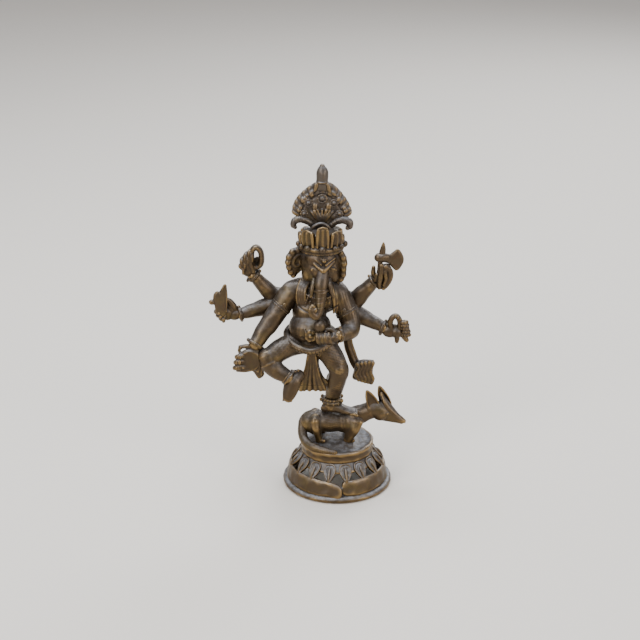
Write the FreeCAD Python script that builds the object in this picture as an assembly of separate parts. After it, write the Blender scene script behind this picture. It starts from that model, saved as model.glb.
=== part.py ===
import FreeCAD, Part
import math
import os
from FreeCAD import Matrix, Vector

# A small cast brass figure of an elephant-headed dancing deity, 179 mm tall.
# It stands on one foot on the back of a long-eared rat, which stands on a round plinth over an open lotus base.
# Frame: origin at the centre of the base's resting face, +Z up, the figure faces -Y and +X is its left-hand side.
# All sizes are in millimetres. Every separately formed piece of the casting is a node of its own. Limbs, hood
# and crown seat in their neighbours with round pegs, and ornaments wrap the limb that carries them.

# ---------------------------------------------------------------- driving dimensions
BASE_RADIUS = 29.8            # outside of the resting flange
FLANGE_HEIGHT = 3.2
FLANGE_WIDTH = 5.2
BAND_HEIGHT = 8.5             # upright wall that stands on the flange
BAND_FOOT_RADIUS = 27.2
BAND_TOP_RADIUS = 25.6
BAND_WALL = 1.8
BAND_SEAM = 1.0               # gap where the two ends of the band meet
BAND_SEAM_AT = -84.0          # degrees round +Z from +X
PETAL_COUNT = 16
PETAL_RADII = (5.3, 3.1, 1.4)  # half length, half width, half thickness
COLLAR_HEIGHT = 3.5
PLINTH_RADIUS = 19.8
PLINTH_FOOT_RADIUS = 18.3
PLINTH_HEIGHT = 5.9
PLINTH_WALL = 2.1
PLINTH_FOOT_Z = 18.7
PLINTH_TOP_Z = PLINTH_FOOT_Z + PLINTH_HEIGHT
BAND_TOP_Z = FLANGE_HEIGHT + BAND_HEIGHT
TOTAL_HEIGHT = 179.3

HEAD_CENTRE = Vector(-8.7, -3.5, 128.0)
CHEST_CENTRE = Vector(-11.5, -1.0, 107.5)
BELLY_CENTRE = Vector(-14.3, -4.5, 92.0)
PELVIS_CENTRE = Vector(-13.0, -3.0, 83.5)
CROWN_CENTRE = Vector(-8.4, -2.6, 134.8)
CROWN_RADIUS = 10.6
CROWN_HEIGHT = 3.6
HOOD_FRONT_Y = 1.4            # front face of the hood's fan
HOOD_THICKNESS = 3.4
SWEET_RADIUS = 3.4
PEG_RADIUS = 1.3              # round pegs that seat limbs in the torso and the hood in the crown
PEG_DEPTH = 3.0
TINY_SOLID = 0.05             # mm3, trimming crumbs under this are dropped

UP = Vector(0, 0, 1)
nodes = {}


# ---------------------------------------------------------------- shape helpers
def ellipsoid(centre, radii, turn_axis=None, turn_deg=0.0, seam_deg=0.0):
    """A sphere stretched to three half axes, turned about its own centre and moved to centre. The seam of its
    surface faces +X, or is turned round +Z by seam_deg to keep it clear of cuts."""
    stretch = Matrix()
    stretch.scale(*radii)
    sphere = Part.makeSphere(1.0)
    sphere.rotate(Vector(0, 0, 0), UP, seam_deg)
    body = sphere.transformGeometry(stretch)
    if turn_axis is not None:
        body.rotate(Vector(0, 0, 0), turn_axis, turn_deg)
    body.translate(Vector(centre))
    return body


def limb(stations):
    """A round limb through stations (x, y, z, radius): a ball at each and a cone between neighbours."""
    balls = [Part.makeSphere(r, Vector(x, y, z)) for x, y, z, r in stations]
    cones = []
    for (x0, y0, z0, r0), (x1, y1, z1, r1) in zip(stations, stations[1:]):
        start = Vector(x0, y0, z0)
        along = Vector(x1, y1, z1) - start
        if abs(r0 - r1) < 1e-6:
            cones.append(Part.makeCylinder(r0, along.Length, start, along))
        else:
            cones.append(Part.makeCone(r0, r1, along.Length, start, along))
    return fused(balls + cones)


def fused(shapes):
    first = shapes[0]
    return first.multiFuse(shapes[1:]) if len(shapes) > 1 else first


def plate(outline, front_y, thickness):
    """A flat plate that faces -Y: a smooth closed outline of (x, z) points, pushed back by thickness."""
    curve = Part.BSplineCurve()
    curve.interpolate(Points=[Vector(x, front_y, z) for x, z in outline], PeriodicFlag=True)
    face = Part.Face(Part.Wire([curve.toShape()]))
    return face.extrude(Vector(0, thickness, 0))


def solids_of(shape):
    """The shape's solids as one compound, without crumbs left by trimming."""
    kept = [s for s in shape.Solids if s.Volume > TINY_SOLID]
    return kept[0] if len(kept) == 1 else Part.makeCompound(kept)


def trim(name, *others):
    """Cuts other nodes out of a node, so that it lies against them and shares no metal."""
    shape = nodes[name]
    for other in others:
        shape = shape.cut(nodes[other])
    nodes[name] = solids_of(shape)


def biggest(name):
    """Keeps only the largest solid of a node."""
    nodes[name] = max(nodes[name].Solids, key=lambda s: s.Volume)


def contact(child, parent):
    """Where child lies against parent: a point in the middle of the largest shared face, and the way into parent."""
    shared = []
    for face in nodes[child].Faces:
        u, v = face.Surface.parameter(face.CenterOfMass)
        middle = face.valueAt(u, v)
        if Part.Vertex(middle).distToShape(nodes[parent])[0] < 1e-3:
            shared.append((face.Area, middle, face.normalAt(u, v)))
    area, middle, inward = max(shared, key=lambda found: found[0])
    return middle, inward if nodes[parent].isInside(middle + inward * 0.4, 1e-4, False) else inward * -1


def seat(child, parent, depth=PEG_DEPTH):
    """Pegs child into parent where they touch: a round peg that is part of child, in its own socket in parent."""
    middle, inward = contact(child, parent)
    peg = Part.makeCylinder(PEG_RADIUS, 2 * depth, middle - inward * depth, inward)
    inside = max(peg.common(nodes[parent]).Solids, key=lambda s: s.Volume)
    nodes[parent] = solids_of(nodes[parent].cut(inside))
    nodes[child] = solids_of(nodes[child].fuse(inside))


def around(count, start_deg=0.0):
    """Angles in degrees, evenly spaced round +Z."""
    return [start_deg + k * 360.0 / count for k in range(count)]


# ---------------------------------------------------------------- lotus base and plinth
def make_base():
    ring = Part.makeCylinder(BASE_RADIUS, FLANGE_HEIGHT)
    outer_edges = [e for e in ring.Edges if abs(e.Length - 2 * math.pi * BASE_RADIUS) < 0.01]
    ring = ring.makeFillet(1.3, outer_edges)
    nodes["base_flange"] = ring.cut(Part.makeCylinder(BASE_RADIUS - FLANGE_WIDTH, FLANGE_HEIGHT))

    wall = Part.makeCone(BAND_FOOT_RADIUS, BAND_TOP_RADIUS, BAND_HEIGHT, Vector(0, 0, FLANGE_HEIGHT))
    core = Part.makeCone(BAND_FOOT_RADIUS - BAND_WALL, BAND_TOP_RADIUS - BAND_WALL, BAND_HEIGHT,
                         Vector(0, 0, FLANGE_HEIGHT))
    seam = Part.makeBox(BASE_RADIUS, BAND_SEAM, BAND_HEIGHT, Vector(0, -BAND_SEAM / 2, FLANGE_HEIGHT))
    seam.rotate(Vector(0, 0, 0), UP, BAND_SEAM_AT)
    nodes["base_band"] = wall.cut(core).cut(seam)

    collar_z = PLINTH_FOOT_Z - COLLAR_HEIGHT
    outer = Part.makeCone(21.6, 18.6, COLLAR_HEIGHT, Vector(0, 0, collar_z))
    inner = Part.makeCone(19.8, 16.8, COLLAR_HEIGHT, Vector(0, 0, collar_z))
    nodes["lotus_collar"] = outer.cut(inner)

    petals = []
    petal_slope = math.degrees(math.atan2(8.1, 6.1))
    for angle in around(PETAL_COUNT, 360.0 / PETAL_COUNT / 2):
        petal = ellipsoid((0, 0, 0), PETAL_RADII, Vector(0, 1, 0), petal_slope)
        petal.translate(Vector(21.9, 0, 14.2))
        petal.rotate(Vector(0, 0, 0), UP, angle)
        petals.append(petal)
    nodes["lotus_petals"] = Part.makeCompound(petals)

    drum = Part.makeCone(PLINTH_FOOT_RADIUS, PLINTH_RADIUS, PLINTH_HEIGHT, Vector(0, 0, PLINTH_FOOT_Z))
    top_edge = [e for e in drum.Edges if abs(e.Length - 2 * math.pi * PLINTH_RADIUS) < 0.01]
    drum = drum.makeFillet(0.9, top_edge)
    hollow = Part.makeCylinder(PLINTH_FOOT_RADIUS - PLINTH_WALL, PLINTH_HEIGHT - PLINTH_WALL,
                               Vector(0, 0, PLINTH_FOOT_Z))
    nodes["plinth"] = drum.cut(hollow)
    trimmed = [p.cut(nodes["lotus_collar"]).cut(nodes["base_band"]).cut(nodes["plinth"]) for p in petals]
    nodes["lotus_petals"] = Part.makeCompound([max(p.Solids, key=lambda s: s.Volume) for p in trimmed])


# ---------------------------------------------------------------- the rat
def make_rat():
    trunk = [limb([(-14.2, 0.0, 35.6, 5.6), (-9.0, 0.0, 35.4, 6.3), (-2.0, -0.2, 35.2, 6.2), (6.5, -0.5, 35.2, 6.6),
                   (10.5, -0.5, 37.4, 5.4), (18.0, -1.5, 42.0, 4.2)])]
    legs = []
    for side in (-1, 1):
        legs.append(limb([(-12.0, side * 4.4, 33.5, 4.2), (-13.4, side * 5.6, 28.6, 2.6),
                          (-11.6, side * 6.2, 26.0, 1.9)]))
        legs.append(limb([(6.6, side * 3.8, 33.6, 4.8), (6.6, side * 5.6, 26.3, 2.2)]))
    nodes["rat_body"] = solids_of(fused(trunk + legs))
    nodes["rat_head"] = limb([(20.0, -2.0, 43.0, 5.2), (27.5, -3.2, 40.2, 3.7), (35.4, -4.4, 37.3, 1.3)])
    nodes["rat_ears"] = Part.makeCompound([
        ellipsoid((17.2, -5.2, 50.4), (2.9, 1.3, 6.7), Vector(0, 1, 0), -8),
        ellipsoid((25.4, 1.2, 49.4), (2.8, 1.3, 6.2), Vector(0, 1, 0), -24)])
    nodes["rat_tail"] = limb([(-18.4, 0.5, 36.0, 2.3), (-20.6, -3.0, 31.6, 2.1), (-19.6, -7.4, 27.6, 1.9),
                              (-16.0, -12.2, 25.9, 1.7), (-10.8, -16.2, 25.6, 1.5), (-5.6, -18.3, 25.5, 1.3),
                              (-0.8, -19.0, 25.4, 1.0)])
    trim("rat_body", "plinth")
    trim("rat_head", "rat_body")
    trim("rat_ears", "rat_head", "rat_body")
    trim("rat_tail", "plinth", "rat_body")
    biggest("rat_tail")


# ---------------------------------------------------------------- legs
def make_legs():
    nodes["standing_leg"] = limb([(-3.0, -2.4, 46.5, 3.3), (-2.8, -3.0, 51.0, 3.5), (-1.4, -5.0, 59.0, 5.0),
                                  (-0.3, -7.8, 67.5, 5.4), (-4.6, -5.6, 76.5, 5.9), (-8.0, -3.4, 81.5, 6.4)])
    foot = fused([limb([(-5.0, -1.0, 43.6, 3.2), (2.0, -3.0, 43.5, 2.9), (9.2, -5.2, 43.2, 2.5)]),
                  ellipsoid((-2.6, -2.2, 45.2), (3.6, 3.2, 3.0))])
    nodes["standing_foot"] = foot
    nodes["raised_leg"] = limb([(-18.0, -4.2, 83.4, 6.4), (-27.0, -8.6, 82.4, 6.0), (-36.4, -12.6, 77.0, 5.4),
                                (-31.4, -15.4, 72.8, 4.9), (-26.6, -16.9, 69.6, 4.0)])
    nodes["raised_foot"] = limb([(-21.4, -15.6, 68.4, 3.3), (-24.8, -17.4, 67.2, 3.9), (-27.2, -20.4, 57.0, 2.6)])
    nodes["anklets"] = Part.makeCompound([
        Part.makeTorus(4.6, 1.4, Vector(-2.9, -2.8, 48.6), Vector(0.02, 0.1, 1)),
        Part.makeTorus(4.5, 1.2, Vector(-26.4, -16.9, 69.4), Vector(0.75, -0.25, -0.55))])
    trim("standing_foot", "rat_body", "rat_head")
    trim("standing_leg", "standing_foot")
    trim("raised_foot", "raised_leg")
    biggest("raised_foot")
    trim("anklets", "standing_leg", "standing_foot", "raised_leg", "raised_foot")
    seat("standing_foot", "rat_body")
    seat("standing_leg", "standing_foot")
    seat("raised_foot", "raised_leg")


# ---------------------------------------------------------------- torso and its dress
def make_torso():
    torso = fused([ellipsoid(CHEST_CENTRE, (12.4, 8.2, 8.6)), ellipsoid((-13.2, -3.0, 99.5), (8.8, 7.8, 8.0)),
                   ellipsoid(BELLY_CENTRE, (12.0, 10.6, 9.6)), ellipsoid(PELVIS_CENTRE, (11.0, 8.2, 6.2)),
                   limb([(-10.0, -1.5, 110.0, 6.0), (-8.8, -2.5, 119.0, 5.2)])])
    nodes["torso"] = solids_of(torso)
    stretch = Matrix()
    stretch.scale(1.0, 0.86, 1.0)
    belt = Part.makeTorus(11.4, 1.8).transformGeometry(stretch)
    belt.rotate(Vector(0, 0, 0), Vector(1, 0.25, 0), 12)
    belt.translate(Vector(-14.3, -4.6, 87.0))
    nodes["belt"] = belt
    trim("standing_leg", "torso")
    trim("raised_leg", "torso")
    biggest("standing_leg")
    biggest("raised_leg")
    trim("raised_leg", "standing_leg")
    trim("belt", "torso", "standing_leg", "raised_leg")
    biggest("belt")

    def hem(z, half_width, half_depth, x):
        ring = Part.Ellipse(Vector(0, 0, 0), half_width, half_depth).toShape()
        ring.translate(Vector(x, -3.6, z))
        return Part.Wire([ring])

    nodes["front_sash"] = Part.makeLoft([hem(80.0, 2.7, 1.7, -14.0), hem(69.0, 3.4, 1.8, -13.8),
                                         hem(57.0, 6.7, 1.9, -13.0)], True)
    side_fold = limb([(-13.0, -3.6, 78.0, 1.3), (-9.8, -3.8, 68.0, 1.4), (-6.8, -3.8, 62.0, 1.5),
                      (-5.6, -3.6, 59.4, 1.3)])
    nodes["front_sash"] = fused([nodes["front_sash"], side_fold])
    trim("front_sash", "torso", "belt", "standing_leg", "raised_leg", "raised_foot")
    biggest("front_sash")
    nodes["necklace"] = Part.makeTorus(7.4, 1.1, Vector(-9.6, -2.8, 113.6), Vector(0, -0.45, 1))
    nodes["sacred_thread"] = limb([(-1.5, -7.4, 110.5, 0.9), (-4.5, -9.6, 105.5, 0.9), (-7.6, -11.2, 99.0, 0.9),
                                   (-11.6, -14.6, 94.4, 0.9), (-18.0, -14.8, 92.0, 0.9)])
    seat("raised_leg", "torso")
    seat("standing_leg", "torso")


# ---------------------------------------------------------------- arms, hands, bangles and what they hold
# Each arm: shoulder, elbow and wrist stations (x, y, z, radius), then the hand's balls.
ARMS = {
    "upper_right": dict(arm=[(-21.0, 4.0, 108.0, 5.0), (-33.4, 3.6, 107.2, 4.6), (-44.0, 0.6, 118.8, 3.2)],
                        hand=[(-44.6, 0.2, 121.0, 2.6), (-46.4, -0.4, 126.0, 3.3), (-45.4, -0.8, 132.0, 1.9)]),
    "middle_right": dict(arm=[(-22.0, 3.0, 107.0, 5.0), (-36.0, 2.0, 102.8, 5.0), (-51.0, -1.8, 98.8, 3.1)],
                         hand=[(-52.6, -2.4, 98.6, 2.8), (-57.0, -3.2, 98.4, 3.3), (-60.4, -4.0, 97.0, 2.4)]),
    "lower_right": dict(arm=[(-24.0, -1.8, 110.4, 5.6), (-34.6, -6.6, 97.4, 5.2), (-42.8, -11.6, 86.4, 3.7)],
                        hand=[(-43.6, -12.4, 83.6, 3.4), (-46.2, -14.0, 78.0, 4.6), (-50.6, -14.4, 76.4, 3.8)]),
    "upper_left": dict(arm=[(3.0, 4.0, 107.0, 5.0), (8.0, 3.6, 104.0, 4.8), (19.2, 0.4, 116.4, 3.2)],
                       hand=[(20.4, -0.2, 118.2, 2.7), (23.8, -1.0, 121.4, 3.8), (24.6, -1.6, 125.4, 2.6)]),
    "middle_left": dict(arm=[(1.0, 3.0, 104.0, 5.0), (9.6, 2.0, 97.6, 4.9), (23.6, -1.8, 91.8, 3.1)],
                        hand=[(25.2, -2.2, 91.0, 2.8), (29.6, -3.2, 90.0, 3.1), (33.4, -3.8, 92.0, 3.2)]),
    "lower_left": dict(arm=[(-1.0, -1.8, 109.4, 5.8), (7.0, -6.0, 93.4, 5.1), (1.0, -16.4, 92.6, 3.2)],
                       hand=[(-0.6, -17.6, 92.2, 2.8), (-5.0, -19.6, 91.2, 3.5), (-9.6, -19.2, 92.6, 2.6)]),
}


def make_arms():
    for side, stations in ARMS.items():
        arm, hand, bangle = side + "_arm", side + "_hand", side + "_bangle"
        nodes[arm] = limb(stations["arm"])
        nodes[hand] = limb(stations["hand"])
        x, y, z, wrist_radius = stations["arm"][-1]
        palm = Vector(*stations["hand"][1][:3])
        nodes[bangle] = Part.makeTorus(wrist_radius + 0.7, 1.0, Vector(x, y, z), palm - Vector(x, y, z))
    trim("middle_right_arm", "upper_right_arm")
    trim("middle_left_arm", "upper_left_arm")
    for side in ("lower_right", "lower_left"):
        for other in ("upper", "middle"):
            trim(side.replace("lower", other) + "_arm", side + "_arm")
    for side, stations in ARMS.items():
        arm, hand, bangle = side + "_arm", side + "_hand", side + "_bangle"
        trim(arm, "torso")
        biggest(arm)
        trim(hand, arm)
        biggest(hand)
        trim(bangle, arm, hand)
        seat(arm, "torso")
        seat(hand, arm)
    trim("lower_right_hand", "raised_leg")
    biggest("lower_right_hand")
    trim("necklace", "torso", "lower_left_arm", "lower_right_arm")
    trim("sacred_thread", "torso", "lower_left_arm", "belt")
    biggest("sacred_thread")
    nodes["armlets"] = Part.makeCompound([
        Part.makeTorus(5.8, 0.9, Vector(-29.6, -4.3, 103.5), Vector(-10.6, -4.8, -13.0)),
        Part.makeTorus(5.9, 0.9, Vector(3.4, -4.0, 100.6), Vector(8.0, -4.2, -16.0))])
    trim("armlets", "lower_right_arm", "lower_left_arm", "torso", "middle_right_arm", "middle_left_arm",
         "upper_right_arm", "upper_left_arm", "sacred_thread")


def make_attributes():
    nodes["noose"] = Part.makeTorus(4.6, 1.3, Vector(-42.2, -0.6, 129.4), Vector(0, 1, 0.1))
    stretch = Matrix()
    stretch.scale(0.62, 1.0, 1.5)
    loop = Part.makeTorus(4.4, 1.5, Vector(0, 0, 0), Vector(0, 1, 0)).transformGeometry(stretch)
    loop.rotate(Vector(0, 0, 0), Vector(0, 1, 0), 8)
    loop.translate(Vector(-41.8, -0.8, 129.0))
    nodes["noose"] = loop
    nodes["leaf_emblem"] = fused([plate([(-58.2, 98.0), (-57.2, 107.0), (-57.8, 114.4), (-59.4, 115.4), (-61.4, 110.4),
                                    (-65.0, 108.6), (-66.0, 104.0), (-64.6, 99.4), (-61.6, 96.2)], -8.0, 2.2),
                             Part.makeSphere(1.7, Vector(-66.0, -6.9, 105.4))])
    shaft = limb([(22.6, -2.6, 113.6, 1.2), (23.2, -2.6, 131.0, 1.7), (23.4, -2.6, 137.6, 0.8)])
    nodes["axe_shaft"] = shaft
    nodes["axe_head"] = fused([plate([(21.6, 131.8), (25.6, 131.4), (29.8, 134.8), (33.4, 131.4), (33.6, 128.2),
                                      (31.2, 123.8), (27.6, 126.6), (22.0, 128.4)], -4.0, 2.6),
                               limb([(20.6, -2.7, 130.0, 2.1), (24.0, -2.7, 130.0, 2.2)])])
    nodes["lotus_bud"] = fused([ellipsoid((35.2, -4.0, 92.2), (3.0, 2.8, 4.8), Vector(0, 1, 0), -20),
                                limb([(31.0, -3.8, 95.0, 1.3), (29.0, -3.6, 98.0, 1.3), (27.0, -3.2, 95.6, 1.3)])])
    nodes["sweet_ball"] = Part.makeSphere(SWEET_RADIUS, Vector(-9.4, -19.0, 98.6))
    trim("noose", "upper_right_hand", "upper_right_bangle", "upper_right_arm")
    trim("leaf_emblem", "middle_right_hand", "middle_right_bangle")
    trim("axe_shaft", "upper_left_bangle", "upper_left_arm")
    biggest("axe_shaft")
    trim("upper_left_hand", "axe_shaft")
    trim("axe_head", "axe_shaft", "upper_left_hand")
    biggest("axe_head")
    trim("lotus_bud", "middle_left_hand", "middle_left_bangle")
    trim("sweet_ball", "torso", "lower_left_hand", "sacred_thread")


def make_scarf():
    ribbon = [limb([(4.6, 2.2, 90.0, 2.2), (5.6, 2.6, 80.0, 2.4), (9.0, 2.0, 71.0, 2.4), (13.4, 0.6, 65.4, 2.6)]),
              plate([(11.0, 70.6), (19.2, 72.2), (18.8, 65.0), (18.4, 58.4), (12.6, 57.6), (7.8, 60.6),
                     (9.2, 65.6)], -1.6, 3.6)]
    nodes["left_scarf"] = fused(ribbon)
    trim("left_scarf", "lower_left_arm", "middle_left_arm", "upper_left_arm", "standing_leg", "torso")
    biggest("left_scarf")
    nodes["right_scarf"] = plate([(-45.0, 82.0), (-40.6, 80.0), (-39.2, 74.0), (-39.0, 68.0), (-41.8, 65.4),
                                  (-46.0, 70.0), (-49.0, 76.0)], -11.6, 3.0)
    trim("right_scarf", "lower_right_hand", "lower_right_arm", "lower_right_bangle", "raised_leg")
    biggest("right_scarf")


# ---------------------------------------------------------------- head, crown and hood
def make_head():
    nodes["head"] = solids_of(fused([ellipsoid(HEAD_CENTRE, (10.8, 9.4, 9.4)),
                                     ellipsoid((-9.0, -7.0, 121.8), (8.0, 6.2, 6.4)),
                                     ellipsoid((-8.6, -1.0, 138.0), (9.0, 8.2, 7.4))]))
    nodes["trunk"] = limb([(-8.8, -11.6, 123.0, 4.4), (-8.8, -15.0, 116.4, 3.5), (-9.2, -17.0, 110.4, 2.8),
                           (-10.4, -19.0, 105.8, 2.3), (-13.0, -20.2, 106.2, 2.1), (-14.2, -20.4, 108.8, 1.8)])
    nodes["tusks"] = Part.makeCompound([
        limb([(-13.4, -10.6, 121.0, 1.4), (-13.0, -13.4, 118.6, 1.2), (-14.2, -15.6, 114.0, 0.7)]),
        limb([(-4.2, -10.6, 121.0, 1.4), (-4.2, -13.4, 118.2, 1.2), (-2.0, -15.2, 112.8, 0.7)])])
    nodes["right_ear"] = ellipsoid((-21.6, -1.6, 127.6), (5.2, 2.4, 8.2), Vector(0, 1, 0), 12, seam_deg=180)
    nodes["left_ear"] = ellipsoid((1.6, -1.6, 126.0), (4.4, 2.6, 9.0), Vector(0, 1, 0), -4)
    band = Part.makeCylinder(CROWN_RADIUS, CROWN_HEIGHT, CROWN_CENTRE)
    nodes["crown_band"] = band
    leaves = []
    for angle, height, width in ((-158, 6.0, 2.2), (-124, 8.0, 2.6), (-88, 13.0, 3.0), (-50, 7.2, 2.6), (-16, 5.0, 2.2)):
        turn = math.radians(angle)
        foot = CROWN_CENTRE + Vector(math.cos(turn), math.sin(turn), 0) * (CROWN_RADIUS - 0.6)
        tall = ellipsoid((0, 0, 0), (1.3, width, height * 0.56), Vector(0, 1, 0), -4)
        tall.rotate(Vector(0, 0, 0), UP, angle)
        tall.translate(foot + Vector(0, 0, CROWN_HEIGHT + height * 0.34))
        leaves.append(tall)
    nodes["crown_leaves"] = Part.makeCompound(leaves)
    beads = []
    for angle in (-158, -124, -88, -50, -16):
        turn = math.radians(angle)
        at = CROWN_CENTRE + Vector(math.cos(turn), math.sin(turn), 0) * (CROWN_RADIUS + 0.5)
        beads.append(Part.makeSphere(1.7, at + Vector(0, 0, CROWN_HEIGHT * 0.62)))
    nodes["crown_beads"] = Part.makeCompound(beads)
    trim("head", "torso")
    biggest("head")
    trim("trunk", "head", "torso")
    biggest("trunk")
    trim("tusks", "head", "trunk", "torso")
    trim("right_ear", "head")
    trim("left_ear", "head")
    biggest("right_ear")
    biggest("left_ear")
    trim("crown_band", "head", "right_ear", "left_ear")
    biggest("crown_band")
    trim("crown_leaves", "head", "crown_band", "right_ear", "left_ear")
    trim("crown_beads", "crown_band", "crown_leaves", "head", "right_ear", "left_ear")
    trim("necklace", "head", "trunk")
    trim("sacred_thread", "trunk", "sweet_ball")
    trim("sweet_ball", "trunk")
    seat("head", "torso")
    seat("trunk", "head")


def make_hood():
    fan = plate([(-9.5, 142.0), (-15.0, 145.6), (-19.0, 150.4), (-23.0, 154.6), (-21.6, 160.4), (-15.6, 165.6),
                 (-8.3, 168.6), (-1.2, 165.6), (4.6, 160.0), (6.2, 155.8), (2.2, 150.4), (-3.6, 145.4)],
                HOOD_FRONT_Y, HOOD_THICKNESS)
    mid_y = HOOD_FRONT_Y + HOOD_THICKNESS / 2
    nodes["hood_fan"] = fan
    nodes["hood_curls"] = Part.makeCompound([
        limb([(-16.4, mid_y, 147.0, 1.3), (-20.2, mid_y, 150.2, 1.6), (-22.0, mid_y, 148.6, 1.5)]),
        limb([(-1.6, mid_y, 147.4, 1.3), (2.6, mid_y, 150.0, 1.7), (5.0, mid_y, 148.6, 1.8)])])
    nodes["hood_arch"] = limb([(-15.0, -1.2, 144.4, 1.1), (-12.8, -1.2, 147.6, 1.1), (-9.2, -1.2, 149.0, 1.1),
                               (-5.6, -1.2, 147.6, 1.1), (-4.0, -1.2, 144.8, 1.1)])
    nodes["hood_finial"] = limb([(-8.3, mid_y, 167.4, 2.2), (-8.3, mid_y, 170.2, 2.3), (-8.3, mid_y, 173.4, 2.9),
                                 (-8.3, mid_y, TOTAL_HEIGHT - 1.5, 1.5)])
    bosses = [(-8.3, 160.8, 2.3), (-15.2, 158.6, 2.0), (-2.6, 158.6, 2.0), (-17.2, 153.4, 1.7), (-0.6, 153.0, 1.7)]
    nodes["hood_bosses"] = Part.makeCompound(
        [ellipsoid((x, HOOD_FRONT_Y, z), (r, 1.2, r)) for x, z, r in bosses])
    trim("hood_fan", "head", "crown_leaves")
    biggest("hood_fan")
    trim("hood_curls", "hood_fan")
    trim("hood_finial", "hood_fan")
    trim("hood_bosses", "hood_fan")
    trim("hood_arch", "head", "crown_leaves", "hood_fan", "crown_band")
    seat("hood_fan", "head")
    seat("hood_finial", "hood_fan")


make_base()
make_rat()
make_legs()
make_torso()
make_arms()
make_attributes()
make_scarf()
make_head()
make_hood()

os.makedirs("parts", exist_ok=True)
for name, shape in nodes.items():
    shape.exportStep(os.path.join("parts", name + ".step"))
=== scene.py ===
import math

import bpy
import numpy as np
from bpy.props import FloatProperty, FloatVectorProperty, IntProperty, PointerProperty
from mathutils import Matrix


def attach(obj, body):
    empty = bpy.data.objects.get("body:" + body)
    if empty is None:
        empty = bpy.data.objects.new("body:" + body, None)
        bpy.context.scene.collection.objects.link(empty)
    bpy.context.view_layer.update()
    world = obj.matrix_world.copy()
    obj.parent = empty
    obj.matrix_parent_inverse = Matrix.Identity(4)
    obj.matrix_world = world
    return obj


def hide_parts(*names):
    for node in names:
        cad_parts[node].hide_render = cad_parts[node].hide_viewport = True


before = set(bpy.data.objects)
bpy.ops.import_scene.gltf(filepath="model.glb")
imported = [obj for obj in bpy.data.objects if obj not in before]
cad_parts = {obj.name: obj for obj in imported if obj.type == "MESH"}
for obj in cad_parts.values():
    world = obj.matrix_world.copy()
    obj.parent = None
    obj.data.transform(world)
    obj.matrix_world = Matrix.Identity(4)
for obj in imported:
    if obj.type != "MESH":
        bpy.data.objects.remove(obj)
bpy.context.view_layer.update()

bl_info = {
    "name": "Dancing deity statuette",
    "version": (1, 0, 0),
    "blender": (4, 5, 0),
    "location": "View3D > Sidebar > Statuette",
    "description": "Builds a cast brass elephant-headed statuette on a rat and a lotus base",
    "category": "Add Mesh",
}

# All shapes below are worked out in millimetres, in the row frame, and scaled to metres when a piece is
# made.
MM = 0.001
TAU = 2.0 * math.pi

# Millimetres that a point stands out from its near and its wider surroundings when it is fully rubbed.
FINE_WEAR, BROAD_WEAR = 0.11, 0.35
# How deep, in metres, the pits and grain of the casting look.
GRAIN_DEPTH = 0.00012
# How far out from the skin, in millimetres, and between which readings crevices are counted for painted
# shade.
CREVICE_REACH = 1.6
CREVICE_FROM, CREVICE_FULL = 55, 97

# The camera: where it stands in metres, how many degrees it looks down, and its lens on film 36 mm wide.
EYE = (-0.0094, -0.7064, 0.3756)
LOOKS_DOWN = 21.7
LENS_MM, FILM_MM = 80.66, 36.0


# ---------------------------------------------------------------- numpy surfaces
def unit(vectors):
    """Each row divided by its own length."""
    vectors = np.asarray(vectors, float)
    return vectors / np.maximum(np.linalg.norm(vectors, axis=-1, keepdims=True), 1e-12)


def smooth(points, count, closed=False):
    """A Catmull-Rom curve through the points: between two points it is the cubic whose slope at each is
    half the step between that point's two neighbours. Extra columns, such as radii, follow the same
    rule."""
    points = np.asarray(points, float)
    if closed:
        padded = np.vstack([points[-1:], points, points[:2]])
        spans = len(points)
        at = np.linspace(0, spans, count, endpoint=False)
    else:
        padded = np.vstack([2 * points[0] - points[1], points, 2 * points[-1] - points[-2]])
        spans = len(points) - 1
        at = np.linspace(0, spans, count)
    i = np.minimum(at.astype(int), spans - 1)
    f = (at - i)[:, None]
    a, b, c, d = padded[i], padded[i + 1], padded[i + 2], padded[i + 3]
    return 0.5 * (2 * b + (c - a) * f + (2 * a - 5 * b + 4 * c - d) * f ** 2
                  + (3 * b - a - 3 * c + d) * f ** 3)


def skin(rings, start=None, end=None, closed=False):
    """A skin over rings (count x sides x 3): quads between neighbouring rings, fans to the start and end
    points."""
    count, sides, _ = rings.shape
    index = np.arange(count * sides).reshape(count, sides)
    if closed:
        index = np.vstack([index, index[:1]])
    right = np.roll(index, -1, axis=1)
    quads = np.stack([index[:-1], index[1:], right[1:], right[:-1]], -1).reshape(-1, 4)
    points = rings.reshape(-1, 3)
    fans = []
    for pole, ring, flip in ((start, 0, False), (end, -1, True)):
        if pole is not None:
            points = np.vstack([points, pole])
            tip = np.full(sides, len(points) - 1)
            fan = np.stack([tip, index[ring], right[ring]], -1)
            fans.append(fan[:, ::-1] if flip else fan)
    return points, quads, np.vstack(fans) if fans else np.zeros((0, 3), int)


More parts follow.
